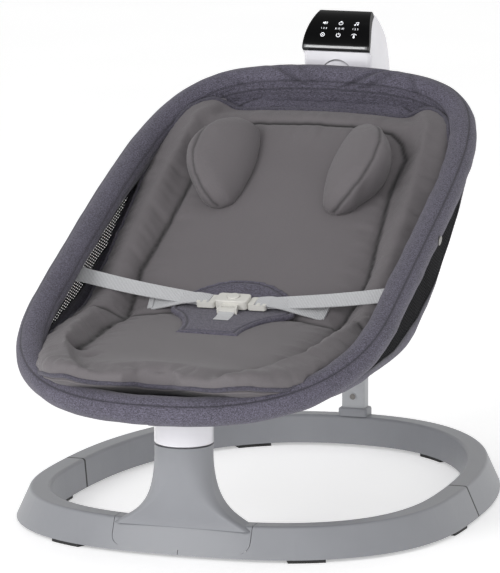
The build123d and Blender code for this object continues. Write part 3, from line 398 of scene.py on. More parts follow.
def merged(piece, distance=1e-5):
    """Merge doubled points and turn the faces outwards."""
    alone(piece)
    bpy.ops.object.mode_set(mode="EDIT")
    bpy.ops.mesh.select_all(action="SELECT")
    bpy.ops.mesh.remove_doubles(threshold=distance)
    bpy.ops.mesh.normals_make_consistent(inside=False)
    bpy.ops.object.mode_set(mode="OBJECT")
    return piece


def placed(name, data):
    """A new object in the scene."""
    piece = bpy.data.objects.new(name, data)
    bpy.context.scene.collection.objects.link(piece)
    return piece


def solid_copy(node, name):
    """A new piece with its own copy of a frame node's shape."""
    piece = placed(name, NODES[node].data.copy())
    for key in list(piece.keys()):
        del piece[key]
    return merged(piece)


def grid(name, columns, rows, place, size=(1.0, 1.0)):
    """A sheet of faces put in place by a function of its two shares; its map is in metres."""
    bpy.ops.mesh.primitive_grid_add(x_subdivisions=columns, y_subdivisions=rows, size=1)
    piece = bpy.context.object
    piece.name = name
    flat = points_of(piece)
    set_points(piece, place(flat[:, 0] + 0.5, flat[:, 1] + 0.5))
    layer = piece.data.uv_layers[0].data
    own = np.empty(len(layer) * 2)
    layer.foreach_get("uv", own)
    own = own.reshape(-1, 2) * np.array(size)
    layer.foreach_set("uv", own.ravel())
    return piece


def tube(name, path, radius, closed=False):
    """A round cord of cloth along a path of points."""
    line = bpy.data.curves.new(name, "CURVE")
    line.dimensions = "3D"
    spline = line.splines.new("POLY")
    spline.points.add(len(path) - 1)
    spline.points.foreach_set("co", np.column_stack((path, np.ones(len(path)))).ravel())
    spline.use_cyclic_u = closed
    line.bevel_depth = radius
    line.bevel_resolution = 3
    line.use_fill_caps = not closed
    alone(placed(name, line))
    bpy.ops.object.convert(target="MESH")
    return smooth(merged(bpy.context.object))


def even(path, count, closed=False):
    """The same path with evenly spaced points."""
    path = np.vstack((path, path[:1])) if closed else np.asarray(path, float)
    steps = np.concatenate(([0.0], np.cumsum(np.linalg.norm(np.diff(path, axis=0), axis=1))))
    wanted = np.linspace(0, steps[-1], count + 1)[:-1] if closed else np.linspace(0, steps[-1], count)
    return np.column_stack([np.interp(wanted, steps, path[:, k]) for k in range(3)])


def ripple(along, seed):
    """A soft irregular wave between about -1 and 1."""
    rates = (41.0, 67.0, 103.0, 171.0)
    shares = (0.32, 0.3, 0.22, 0.16)
    waves = [s * np.sin(along * r + seed * (k + 1.7)) for k, (r, s) in enumerate(zip(rates, shares))]
    return sum(waves)


def hill(gap, width):
    """A smooth hill of height 1, by distance from its middle."""
    return np.exp(-((gap / width) ** 2))


def ramp(value, start, run):
    """0 up to a start, 1 past a run from there, and straight between."""
    return np.clip((value - start) / run, 0, 1)


def facing_up(piece):
    """1 where a piece's surface faces up, falling to 0 where it is upright."""
    return np.clip(normals_of(piece)[:, 2] / 0.5, 0, 1)


def distance_to(points, path):
    """Distance of points from a path, and how far along the path the nearest place is."""
    best = np.full(len(points), 1e9)
    where = np.zeros(len(points))
    run = 0.0
    for start, end in zip(path[:-1], path[1:]):
        leg = end - start
        length = np.linalg.norm(leg)
        share = np.clip((points - start) @ leg / (length * length), 0, 1)
        gap = np.linalg.norm(points - start - share[:, None] * leg, axis=1)
        near = gap < best
        best[near] = gap[near]
        where[near] = run + share[near] * length
        run += length
    return best, where


def snapped(piece, path):
    """The same path laid on a piece's surface."""
    return np.array([piece.closest_point_on_mesh(Vector(spot))[1] for spot in path])


CLOTH_FRAMES = 20


def plump(piece, voxel, pressure, cap):
    """Swell a closed piece with cloth under pressure, holding every point within a cap of its place."""
    modified(piece, "REMESH", mode="VOXEL", voxel_size=voxel)
    modified(piece, "SMOOTH", factor=0.5, iterations=4)
    rest = points_of(piece)
    alone(piece)
    cloth = piece.modifiers.new("Cloth", "CLOTH")
    cloth.settings.quality = 4
    cloth.settings.mass = 0.2
    cloth.settings.use_pressure = True
    cloth.settings.uniform_pressure_force = pressure
    cloth.settings.effector_weights.gravity = 0.0
    cloth.settings.tension_stiffness = 12
    cloth.settings.compression_stiffness = 12
    cloth.settings.bending_stiffness = 0.4
    scene = bpy.context.scene
    for step in range(1, CLOTH_FRAMES + 1):
        scene.frame_set(step)
    shape = piece.evaluated_get(bpy.context.evaluated_depsgraph_get()).to_mesh()
    moved = read(shape.vertices, "co") - rest
    piece.modifiers.remove(cloth)
    scene.frame_set(1)
    size = np.linalg.norm(moved, axis=1)
    held = cap * np.tanh(size / cap) / np.maximum(size, 1e-9)
    set_points(piece, rest + moved * held[:, None])
    return piece


def ride(piece, body, slot, *replaced):
    """Hand a finished piece to the frame."""
    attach(piece, body)
    if replaced:
        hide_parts(*replaced)
    return piece


def rim_line(count):
    """Points of the rim's centre line, from the foot round the right side to the head and back."""
    angle = np.radians(np.linspace(-90, 90, 721))
    reach = np.maximum(np.cos(angle), 0.0)
    lift = np.sin(angle)
    rear = lift >= 0
    power = np.where(rear, RIM_HEAD_POWER, RIM_FOOT_POWER)
    depth = np.where(rear, RIM_HEAD_DEPTH, RIM_FOOT_DEPTH)
    across = RIM_HALF_WIDTH * reach ** (2 / power)
    along = np.sign(lift) * depth * np.abs(lift) ** (2 / power)
    across[[0, -1]] = 0.0
    rise = RIM_LENGTH_SAG * along ** 2 + RIM_SIDE_SAG * across ** 2
    level, steep = math.cos(RIM_SLOPE), math.sin(RIM_SLOPE)
    right = np.column_stack((across, along * level - rise * steep, along * steep + rise * level)) + RIM_CENTRE
    left = right[-2:0:-1] * np.array((-1, 1, 1))
    return even(np.vstack((right, left)), count, closed=True)


def rim_axes(line):
    """Outward and upward directions along the rim's line."""
    heading = np.roll(line, -1, axis=0) - np.roll(line, 1, axis=0)
    heading /= np.linalg.norm(heading, axis=1)[:, None]
    outwards = np.cross(heading, RIM_UP)
    outwards /= np.linalg.norm(outwards, axis=1)[:, None]
    return outwards, np.cross(outwards, heading)


def rim_side(y):
    """Half width and height of the rim's centre line at given Y."""
    line = rim_line(1440)[:720]
    order = np.argsort(line[:, 1])
    return np.interp(y, line[order, 1], line[order, 0]), np.interp(y, line[order, 1], line[order, 2])


def seat_floor(y):
    """Height of the seat's floor on the centre line."""
    run = y - CREASE_Y
    pan = CREASE_Z + run * math.tan(PAN_SLOPE)
    back = CREASE_Z + run * math.tan(BACK_SLOPE)
    floor = (pan + back + np.sqrt((pan - back) ** 2 + FLOOR_BLEND ** 2)) / 2
    return floor + HEAD_BEND_RISE * (np.maximum(0, y - HEAD_BEND_Y) / HEAD_BEND_RUN) ** 2


class SWING_OT_finishes(bpy.types.Operator):
    """Make the finishes and dress the rigid pieces of the frame"""

    bl_idname = "swing.finishes"
    bl_label = "Finishes"

    def execute(self, context):
        tones = context.scene.swing_colours
        FINISHES.update(
            melange=melange_cloth(tones),
            pad=pad_cloth(tones),
            net=net_cloth(tones),
            strap=webbing_cloth(tones),
            buckle_plastic=moulded("buckle_ivory", tones.buckle, 0.34, 0.12),
            base_plastic=moulded("base_satin_grey", tones.base, 0.42, 0.3, parting=RING_JOINT_Y),
            white_plastic=moulded("shell_gloss_white", tones.shell, 0.2, 0.05, 0.5),
            panel_gloss=moulded("panel_piano_black", (0.0015, 0.0015, 0.0018), 0.12, 0.02, 0.0, 0.12),
            # Mid grey for the strip on the panel's lip: painted reflection
            trim=moulded("lip_reflection_grey", (0.19, 0.19, 0.195), 0.2, 0.05, 0.3),
            post_paint=moulded("post_powder_coat", tones.post, 0.45, 0.4),
            dark_plastic=moulded("inner_dark", (0.02, 0.02, 0.021), 0.5, 0.3),
            rubber=moulded("foot_rubber", (0.014, 0.014, 0.014), 0.75, 0.5),
            bush_plastic=moulded("bush_acetal", (0.62, 0.61, 0.56), 0.4, 0.1),
            board=moulded("board_green", (0.02, 0.13, 0.05), 0.4, 0.2),
            steel=metal("drawn_steel", (0.5, 0.5, 0.52), 0.32),
            snap_metal=metal("snap_nickel", (0.22, 0.21, 0.20), 0.3),
            coil=metal("coil_copper", (0.66, 0.3, 0.13), 0.35),
            ink=printed("panel_print", (0.85, 0.86, 0.9), 0.6),
        )
        FINISHES["magnet"] = FINISHES["steel"]
        for part in frame["record"]["subparts"]:
            if part["material_slot"] in FINISHES:
                dress(NODES[part["node"]], part["material_slot"])
        dress(NODES["post_screw"], "snap_metal")
        return {"FINISHED"}


# The touch panel's face is a round arc in Y and Z, from its lip to the housing's ridge
PANEL_CENTRE = (0.36045, 0.53022)
PANEL_RADIUS = 0.06247
PANEL_START = math.radians(165.4)
ICON_COLUMNS = (-0.0200, 0.0015, 0.0230)
ICON_ROWS = (0.0375, 0.0190)
NUMBER_ROW = 0.0275
NUMBERS = ("1 2 3", "8 15 30", "1 2 3")
PRINT_LIFT = 0.00012
# A grey strip along the panel's lip, a painted reflection of the glossy black lip: its width, where it starts
# up the arc, its height and lift
REFLECTION_WIDTH = 0.086
REFLECTION_START = 0.0006
REFLECTION_HEIGHT = 0.0036
REFLECTION_LIFT = 0.0002


def on_panel(flat, lift):
    """Points on the touch panel's face for places across it and up its arc, in metres."""
    turn = PANEL_START - flat[:, 1] / PANEL_RADIUS
    reach = PANEL_RADIUS + lift
    return np.column_stack(
        (flat[:, 0], PANEL_CENTRE[0] + reach * np.cos(turn), PANEL_CENTRE[1] + reach * np.sin(turn))
    )


def arc_band(centre, inner, outer, first=0, last=360, steps=28):
    """Corners of the small faces that make a flat ring, or part of one, in millimetres."""
    turns = np.radians(np.linspace(first, last, steps + 1))
    rays = np.column_stack((np.cos(turns), np.sin(turns)))
    middle = np.array(centre, float)
    near, far = middle + rays * inner, middle + rays * outer
    return [[near[k], far[k], far[k + 1], near[k + 1]] for k in range(steps)]


def bar(x, y, width, height):
    """Corners of an upright flat bar, in millimetres."""
    left, right, top = x - width / 2, x + width / 2, y + height
    return [[(left, y), (right, y), (right, top), (left, top)]]


def icon_faces():
    """The six touch symbols in two rows: sound, timer, music, connection, power and motion."""
    speaker = [[(-3.0, -1.0), (-1.6, -1.0), (-1.6, 1.0), (-3.0, 1.0)]]
    speaker += [[(-1.6, -1.0), (0.4, -2.6), (0.4, 2.6), (-1.6, 1.0)]]
    speaker += arc_band((0.4, 0), 1.1, 1.7, -50, 50, 10) + arc_band((0.4, 0), 2.3, 2.9, -50, 50, 14)
    timer = arc_band((0, 0), 2.3, 3.0) + bar(0, 0, 0.6, 1.8) + bar(0, 3.1, 1.6, 0.6)
    note = arc_band((-1.7, -2.0), 0.0, 1.1, steps=14) + arc_band((1.7, -1.4), 0.0, 1.1, steps=14)
    note += bar(-0.9, -2.0, 0.5, 4.2) + bar(2.5, -1.4, 0.5, 4.4)
    note += [[(-1.15, 2.2), (2.75, 3.0), (2.75, 1.9), (-1.15, 1.1)]]
    bubble = arc_band((0, 0), 2.1, 2.9) + arc_band((0, 0), 0.0, 0.8, steps=12)
    power = arc_band((0, 0), 2.2, 3.0, 125, 415) + bar(0, 0.4, 0.7, 2.8)
    motion = arc_band((0, -1.6), 3.6, 4.3, 35, 145, 18)
    motion += [[(-1.3, -2.6), (1.3, -2.6), (0.35, 1.0), (-0.35, 1.0)]]
    motion += arc_band((0, -2.4), 0.0, 1.3, 180, 360, 12)
    rows = ((speaker, timer, note), (bubble, power, motion))
    faces = []
    for height, row in zip(ICON_ROWS, rows):
        for column, symbol in zip(ICON_COLUMNS, row):
            faces += [[(column + x / 1000, height + y / 1000) for x, y in corners] for corners in symbol]
    return faces


class SWING_OT_panel(bpy.types.Operator):
    """Print the symbols on the touch panel and lay a grey painted reflection along its lip"""

    bl_idname = "swing.panel"
    bl_label = "Touch panel"

    def execute(self, context):
        faces = icon_faces()
        corners = np.array([corner for face in faces for corner in face])
        starts = np.cumsum([0] + [len(face) for face in faces])
        mesh = bpy.data.meshes.new("panel_print")
        mesh.from_pydata(
            np.column_stack((corners, np.zeros(len(corners)))).tolist(),
            [],
            [list(range(a, b)) for a, b in zip(starts[:-1], starts[1:])],
        )
        prints = merged(placed("panel_print", mesh), 2e-5)
        groups = []
        for column, words in zip(ICON_COLUMNS, NUMBERS):
            bpy.ops.object.text_add()
            words_piece = context.object
            words_piece.data.body = words
            words_piece.data.size = 0.0036
            words_piece.data.space_word = 1.5
            words_piece.data.align_x = "CENTER"
            bpy.ops.object.convert(target="MESH")
            words_piece = context.object
            spots = points_of(words_piece)
            set_points(words_piece, spots * np.array((1, 1, 0)) + np.array((column, NUMBER_ROW, 0)))
            groups.append(words_piece)
        bpy.ops.object.select_all(action="DESELECT")
        for piece in (prints, *groups):
            piece.select_set(True)
        context.view_layer.objects.active = prints
        bpy.ops.object.join()
        set_points(prints, on_panel(points_of(prints), PRINT_LIFT))
        merged(prints, 1e-7)
        modified(prints, "SOLIDIFY", thickness=0.0002, offset=0)
        dress(prints, "ink")
        ride(prints, "base", "panel_gloss")

        def place(u, v):
            rise = REFLECTION_START + REFLECTION_HEIGHT * v
            return on_panel(np.column_stack(((u - 0.5) * REFLECTION_WIDTH, rise)), REFLECTION_LIFT)

        # A grey strip on the glossy lip stands for the lip's reflection: painted reflection
        trim = grid("panel_lip_reflection_strip", 24, 6, place)
        modified(trim, "SOLIDIFY", thickness=0.0008, offset=0)
        modified(trim, "BEVEL", width=0.0003, segments=2, limit_method="ANGLE")
        smooth(trim, 40)
        dress(trim, "trim")
        ride(trim, "base", "panel_gloss")
        return {"FINISHED"}


# Folds drawn into the roll's inner face at the head: place across, lean round the roll, depth. Their valleys
# also get painted shade
HEAD_FOLDS = (
    (-0.130, 0.020, 0.0018),
    (-0.050, 0.024, 0.0032),
    (-0.026, 0.015, 0.0020),
    (0.046, -0.027, 0.0032),
    (0.070, -0.020, 0.0020),
    (0.119, 0.012, 0.0024),
)
HEAD_FOLD_TURN = 2.4
FOLD_VALLEY = 0.006
FOLD_SHOULDER = 0.014
FOLD_GAIN = 1.6
# How dark a fold's valley is painted for its depth: painted shade in the crease
FOLD_PAINTED_SHADE = 130
# Turns round the roll of its two sewn lines, and half their width
STITCH_TURN = math.radians(55)
PIPING_TURN = math.radians(160)
STITCH_REACH = 0.0013


class SWING_OT_rim(bpy.types.Operator):
    """Sew the padded roll that covers the rim"""

    bl_idname = "swing.rim"
    bl_label = "Rim cover"

    def execute(self, context):
        sizes = context.scene.swing_sizes
        rows, columns = 960, 72
        line = rim_line(rows)
        outwards, up = rim_axes(line)
        length = np.linalg.norm(np.roll(line, -1, axis=0) - line, axis=1).sum()
        seam = {}

        def place(u, v):
            row = np.rint(v * rows).astype(int) % rows
            turn = u * 2 * math.pi
            along = v * length
            fold = ripple(along + np.sin(turn) * 0.03, 1.0) * (0.35 + 0.65 * np.cos(turn - 2.6) ** 2)
            head = ramp(line[row, 1], 0.20, 0.08)
            inner = head * np.clip(np.cos(1.1 * (turn - HEAD_FOLD_TURN)), 0, 1)
            pleat, shade = np.zeros((2, len(turn)))
            for x, lean, depth in HEAD_FOLDS:
                gap = line[row, 0] - x - lean * (turn - HEAD_FOLD_TURN)
                valley = hill(gap, FOLD_VALLEY)
                pleat += FOLD_GAIN * depth * inner * (0.5 * hill(gap, FOLD_SHOULDER) - valley)
                # Painted shade darkens each fold's valley
                shade = np.maximum(shade, FOLD_PAINTED_SHADE * depth * inner * valley)
            stitch = hill((turn - STITCH_TURN) * sizes.roll_radius, STITCH_REACH)
            piping = hill((turn - PIPING_TURN) * sizes.roll_radius, STITCH_REACH)
            reach = sizes.roll_radius + sizes.roll_pucker * fold + pleat - 0.0008 * stitch - 0.0006 * piping
            # The seam mark carries the stitch and piping lines and the folds' painted shade
            seam["share"] = np.clip(stitch * 0.9 + piping * 0.6 + shade, 0, 1)
            return line[row] + reach[:, None] * (
                np.cos(turn)[:, None] * outwards[row] + np.sin(turn)[:, None] * up[row]
            )

        roll = grid("rim_roll", columns, rows, place, (2 * math.pi * sizes.roll_radius, length))
        mark(roll, "seam", seam["share"])
        smooth(merged(roll))
        dress(roll, "melange")
        ride(roll, "seat", "melange_fabric", "rim_cover")
        return {"FINISHED"}


# Section of the skirt that hangs inside the rim's roll: outwards and up from the rim's centre line
SKIRT = (
    (-0.0172, 0.0005),
    (-0.0166, -0.0080),
    (-0.0135, -0.0165),
    (-0.0080, -0.0250),
    (-0.0015, -0.0330),
    (0.0030, -0.0400),
)
# The share of that height that hangs at places along Y
SKIRT_DROP_Y = (-0.32, -0.22, 0.02, 0.13)
SKIRT_DROP = (0.3, 0.55, 0.6, 1.0)
SKIRT_HEAD_DRAW = 0.022
GATHER_DEPTH = 0.0016


class SWING_OT_skirt(bpy.types.Operator):
    """Hang the gathered skirt inside the rim"""

    bl_idname = "swing.skirt"
    bl_label = "Rim skirt"

    def execute(self, context):
        rows, columns = 720, 20
        line = rim_line(rows)
        outwards, up = rim_axes(line)
        length = np.linalg.norm(np.roll(line, -1, axis=0) - line, axis=1).sum()
        section = even(np.array([(out, rise, 0.0) for out, rise in SKIRT]), columns + 1)
        hang = {}

        def place(u, v):
            row = np.rint(v * rows).astype(int) % rows
            step = np.rint(u * columns).astype(int)
            along = v * length
            head = ramp(line[row, 1], 0.17, 0.08)
            gather = ripple(along * 1.7, 6.0) * (0.25 + 1.1 * head) * np.sin(np.pi * np.clip(u, 0, 1)) ** 0.5
            drop = np.interp(line[row, 1], SKIRT_DROP_Y, SKIRT_DROP)
            out = section[step, 0] - SKIRT_HEAD_DRAW * head * u + GATHER_DEPTH * gather
            rise = section[step, 1] * drop
            hang["seam"] = hill(u - 0.10, 0.035) + 0.7 * hill(u - 0.22, 0.03)
            return line[row] + out[:, None] * outwards[row] + rise[:, None] * up[row]

        skirt = grid("rim_skirt", columns, rows, place, (0.05, length))
        mark(skirt, "seam", 0.7 * np.clip(hang["seam"], 0, 1))
        merged(skirt)
        smooth(modified(skirt, "SOLIDIFY", thickness=0.0012, offset=0))
        dress(skirt, "melange")
        ride(skirt, "seat", "melange_fabric")
        return {"FINISHED"}


# The seam below the net windows: its line in Y and Z, and its share of the way up the sling's section
WINDOW_Y = (-0.252, -0.160, -0.060, 0.034, 0.110, 0.176)
WINDOW_Z = (0.233, 0.241, 0.267, 0.309, 0.361, 0.419)
WINDOW_SHARE = 0.7
# The sling's ends, how far it lies outside the rim's line and below the floor, and where its head end starts
SLING_Y = (-0.390, 0.274)
SLING_OUT = 0.0055
SLING_DROP = 0.0025
SLING_HEAD_Y = 0.2


class SWING_OT_sling(bpy.types.Operator):
    """Hang the sling and its net windows from the rim"""

    bl_idname = "swing.sling"
    bl_label = "Sling and windows"

    def execute(self, context):
        sizes = context.scene.swing_sizes
        first, last = SLING_Y
        rows, columns = 150, 120
        made = {}

        def place(u, v):
            y = first + (last - first) * v
            half, rim_z = rim_side(y)
            half = half + SLING_OUT
            floor = seat_floor(y) - SLING_DROP
            at_head = y > SLING_HEAD_Y
            floor = np.where(at_head, np.minimum(floor, rim_z - 0.012), floor)
            top = np.where(at_head, rim_z, np.maximum(rim_z, floor + 0.016))
            corner = 0.014 + 0.1 * np.maximum(0.0, 0.02 - y)
            corner = np.minimum(np.minimum(corner, 0.7 * (top - floor)), 0.6 * half)
            wall = top - floor - corner
            bend = corner * math.pi / 2
            flat = half - corner
            whole = wall + bend + flat
            seam = flat + bend + np.interp(y, WINDOW_Y, WINDOW_Z) - floor - corner
            seam = np.clip(seam, 0.3 * whole, 0.96 * whole)
            share = np.abs(u - 0.5) * 2
            run = np.where(
                share < WINDOW_SHARE,
                share / WINDOW_SHARE * seam,
                seam + (share - WINDOW_SHARE) / (1 - WINDOW_SHARE) * (whole - seam),
            )
            made["share"] = share
            side = np.sign(u - 0.5)
            turn = np.clip((run - flat) / corner, 0, math.pi / 2)
            x = np.minimum(run, flat) + corner * np.sin(turn)
            z = floor + corner * (1 - np.cos(turn)) + np.clip(run - flat - bend, 0, None)
            sag = 0.0012 * ripple(y * 0.8 + x * 0.4, 3.0) * np.clip(run / whole, 0, 1)
            return np.column_stack((side * (x + sag), y, z - np.abs(sag)))

        sling = grid("sling_cloth", columns, rows, place, (0.6, 0.8))
        mark(sling, "share", made["share"])
        mark(sling, "seam", hill(made["share"] - WINDOW_SHARE, 0.012))
        for name, side in (("mesh_right", 1), ("mesh_left", -1)):
            alone(sling)
            spots = points_of(sling)
            inside = (marks_of(sling, "share") > WINDOW_SHARE - 0.001) & (side * spots[:, 0] > 0.1)
            inside &= (spots[:, 1] > WINDOW_Y[0]) & (spots[:, 1] < WINDOW_Y[-1])
            bpy.ops.object.mode_set(mode="EDIT")
            bpy.ops.mesh.select_mode(type="FACE")
            bpy.ops.mesh.select_all(action="DESELECT")
            bpy.ops.object.mode_set(mode="OBJECT")
            for face in sling.data.polygons:
                face.select = all(inside[k] for k in face.vertices)
            bpy.ops.object.mode_set(mode="EDIT")
            bpy.ops.mesh.separate(type="SELECTED")
            bpy.ops.object.mode_set(mode="OBJECT")
            window = next(piece for piece in context.selected_objects if piece != sling)
            window.name = name.replace("mesh", "net_window")
            smooth(modified(window, "SOLIDIFY", thickness=0.0003, offset=0))
            dress(window, "net")
            ride(window, "seat", "mesh_fabric", name)
        smooth(modified(sling, "SOLIDIFY", thickness=sizes.sling_skin, offset=0))
        dress(sling, "melange")
        ride(sling, "seat", "melange_fabric", "sling")
        return {"FINISHED"}


# Sewn lines of the pad in plan, right half: round the head and down the side, and the lap crease
CHANNEL = (
    (0.0, 0.205),
    (0.075, 0.205),
    (0.108, 0.199),
    (0.127, 0.184),
    (0.138, 0.162),
    (0.134, 0.113),
    (0.140, 0.040),
    (0.146, -0.033),
    (0.137, -0.113),
    (0.143, -0.174),
    (0.139, -0.230),
    (0.137, -0.283),
)
LAP_CREASE = ((0.079, -0.108), (0.137, -0.116), (0.172, -0.140), (0.194, -0.158))
# Places in plan and depths of the pad's sewn tufts
TUFTS = (
    (0.137, -0.283, 0.006),
    (-0.137, -0.283, 0.006),
    (-0.108, -0.316, 0.005),
    (0.120, -0.337, 0.005),
    (0.004, -0.385, 0.006),
)
TUFT_REACH = 0.010
CHANNEL_CORE = 0.005
CHANNEL_SHOULDER = 0.016
# Half width of the dark line down each channel: the stitch, and painted shade at the groove's bottom
CHANNEL_STITCH_AND_SHADE = 0.0027
PUCKER_REACH = 0.016
# The bound edge: the pad's middle, points round it, its rise, its drop at the foot and its rise at the head
PAD_CENTRE = (0.0, -0.08)
EDGE_POINTS = 400
BINDING_RISE = 0.008
BINDING_FOOT_DROP = 0.017
BINDING_HEAD_RISE = 0.021


def outline(piece, centre, count):
    """The outermost points of a piece seen from above, all round a centre."""
    spots = points_of(piece)
    flat = spots[:, :2] - np.array(centre)
    reach = np.linalg.norm(flat, axis=1)
    turn = np.arctan2(flat[:, 1], flat[:, 0])
    slot = ((turn + math.pi) / (2 * math.pi) * count).astype(int) % count
    best = np.full(count, -1)
    for k in np.argsort(reach):
        best[slot[k]] = k
    line = spots[best[best >= 0]]
    for _ in range(3):
        line = (np.roll(line, 1, axis=0) + 2 * line + np.roll(line, -1, axis=0)) / 4
    return even(line, count, closed=True)


class SWING_OT_pad(bpy.types.Operator):
    """Fill the seat pad, sew its channels and bind its edge"""

    bl_idname = "swing.pad"
    bl_label = "Seat pad"

    def execute(self, context):
        sizes = context.scene.swing_sizes
        pad = plump(solid_copy("seat_pad", "padded_seat"), voxel=0.0062, pressure=4.0, cap=sizes.pad_rise)
        modified(pad, "SUBSURF", levels=1, render_levels=1)
        spots = points_of(pad)
        spots[:, 0] *= sizes.pad_half_width / np.abs(spots[:, 0]).max()
        set_points(pad, spots)
        plan = spots * np.array((1, 1, 0))
        plan[:, 0] = np.abs(plan[:, 0])
        top = facing_up(pad)
        groove, pucker, stitch = np.zeros((3, len(spots)))
        side = np.sign(spots[:, 0])
        for path, depth in ((CHANNEL, 1.0), (LAP_CREASE, 0.6)):
            line = np.array([(x, y, 0.0) for x, y in path])
            gap, along = distance_to(plan, line)
            hollow = 0.5 * hill(gap, CHANNEL_CORE) + 0.5 * hill(gap, CHANNEL_SHOULDER)
            groove = np.maximum(groove, depth * hollow)
            folds = ripple(along * 2.6 + side * 0.7, 5.0 + depth)
            pucker += depth * folds * hill(gap - 0.014, PUCKER_REACH)
            # Dark down each channel: the stitch line, and painted shade at the bottom of the groove
            stitch = np.maximum(stitch, min(1.4 * depth, 1.0) * hill(gap, CHANNEL_STITCH_AND_SHADE))
        border = outline(pad, PAD_CENTRE, EDGE_POINTS)
        gap, along = distance_to(spots, np.vstack((border, border[:1])))
        calm = 1.1 - 0.9 * ramp(spots[:, 1], 0.12, 0.1)
        pucker += calm * ripple(along * 2.6, 8.0) * hill(gap - 0.018, PUCKER_REACH)
        shift = -sizes.channel_depth * groove + sizes.pad_pucker * pucker
        shift += 0.0010 * ripple(spots[:, 1] * 0.5 + spots[:, 0] * 0.3, 2.0)
        for x, y, depth in TUFTS:
            shift -= depth * np.exp(-(((spots[:, 0] - x) ** 2 + (spots[:, 1] - y) ** 2) / TUFT_REACH ** 2))
        drawn = sizes.pad_head_gap * ramp(spots[:, 1], 0.21, 0.07) ** 2
        set_points(pad, spots + normals_of(pad) * (shift * top)[:, None] - drawn[:, None] * BACK_ALONG)
        mark(pad, "seam", stitch * top)
        edge = outline(pad, PAD_CENTRE, EDGE_POINTS)
        foot = ramp(-edge[:, 1], 0.24, 0.08)
        edge[:, 2] += BINDING_RISE - BINDING_FOOT_DROP * foot
        edge += BINDING_HEAD_RISE * ramp(edge[:, 1], 0.16, 0.06)[:, None] * BACK_UP
        binding = tube("pad_binding", snapped(pad, edge), radius=0.0030, closed=True)
        mark(binding, "seam", np.full(len(binding.data.vertices), 0.4))
        dress(binding, "melange")
        ride(binding, "seat", "melange_fabric")
        front = edge[foot > 0.5]
        front = front[np.argsort(np.arctan2(front[:, 0], PAD_CENTRE[1] - front[:, 1]))]
        under = front * np.array((0.985, 0.992, 1.0)) - np.array((0.0, 0.0, 0.0055))
        lining = tube("pad_lining_edge", snapped(pad, even(under, 260)), radius=0.0016)
        dress(lining, "pad")
        ride(lining, "seat", "pad_fabric")
        smooth(pad, 180)
        dress(pad, "pad")
        ride(pad, "seat", "pad_fabric", "seat_pad")
        return {"FINISHED"}


class SWING_OT_wings(bpy.types.Operator):
    """Fill the two head wings"""

    bl_idname = "swing.wings"
    bl_label = "Head wings"

    def execute(self, context):
        rest = seat_floor(WING_Y) + PAD_GAP + PAD_THICKNESS / math.cos(BACK_SLOPE) + WING_LIFT
        base = np.array((0.0, WING_Y, rest))
        for name, side in (("head_wing_right", 1), ("head_wing_left", -1)):
            wing = solid_copy(name, name.replace("head_wing", "wing_pillow"))
            plump(wing, voxel=0.004, pressure=4.0, cap=0.004)
            modified(wing, "SUBSURF", levels=1, render_levels=1)
            ridge = [
                base + np.array((side * (WING_X + out), 0, 0)) + up * BACK_ALONG + rise * BACK_UP
                for out, up, rise in WING_RIDGE
            ]
            ridge = snapped(wing, even(np.array(ridge), 60))
            spots = points_of(wing)
            gap, along = distance_to(spots, ridge)
            shift = 0.0012 * hill(gap, 0.009) - 0.0022 * hill(gap, 0.0028)
            shift += 0.0008 * ripple(along * 1.4, 4.0 + side) * hill(gap - 0.012, 0.012)
            set_points(wing, spots + normals_of(wing) * shift[:, None])
            # Dark along the ridge seam: the stitch, and painted shade in its groove
            mark(wing, "seam", 0.6 * hill(gap, 0.0019))
            smooth(wing, 180)
            dress(wing, "pad")
            ride(wing, "seat", "pad_fabric", name)
        return {"FINISHED"}


# Runs of the webbing's free end past each adjuster, and of the crotch webbing from its slit to the buckle
TAIL = (
    (0.030, -0.1050, 0.2815),
    (0.047, -0.1055, 0.2825),
    (0.066, -0.1035, 0.2800),
    (0.090, -0.0985, 0.2735),
    (0.116, -0.0920, 0.2670),
    (0.1165, -0.0918, 0.2690),
    (0.109, -0.0937, 0.2712),
)
CROTCH_ROUTE = ((0, -0.156, 0.2645), (0, -0.142, 0.2665), (0, -0.134, 0.2690), (0, -0.126, 0.2730))
SLIT_HALF_WIDTH = 0.012
# How far the crotch piece's sewn line lies inside its edge
HEM = 0.0065


class SWING_OT_crotch(bpy.types.Operator):
    """Make the bound crotch piece"""

    bl_idname = "swing.crotch"
    bl_label = "Crotch piece"

    def execute(self, context):
        piece = plump(solid_copy("crotch_pad", "crotch_cushion"), voxel=0.0022, pressure=2.0, cap=0.0015)
        modified(piece, "SUBSURF", levels=1, render_levels=1)
        spots = points_of(piece)
        hem = outline(piece, (0.0, -0.125), 240)
        flat = np.array((1, 1, 0))
        gap, _ = distance_to(spots * flat, np.vstack((hem, hem[:1])) * flat)
        shift = 0.0008 * hill(gap - 0.003, 0.003) - 0.0014 * hill(gap - HEM, 0.0016)
        top = facing_up(piece)
        set_points(piece, spots + normals_of(piece) * (shift * top)[:, None])
        slit = hill(spots[:, 1] - CROTCH_ROUTE[0][1], 0.0016) * (np.abs(spots[:, 0]) < SLIT_HALF_WIDTH)
        mark(piece, "seam", np.maximum(0.75 * hill(gap - HEM, 0.0012), slit) * top)
        smooth(piece, 180)
        dress(piece, "melange")
        ride(piece, "seat", "melange_fabric", "crotch_pad")
        return {"FINISHED"}


# The waist webbing's ends on the right side, its sag, and how its width lies at the buckle
STRAP_START = (0.030, -0.1045, 0.2790)
STRAP_END = (0.2225, -0.078, 0.2995)
STRAP_SAG = 0.003
AT_BUCKLE = (0, 0.966, 0.259)


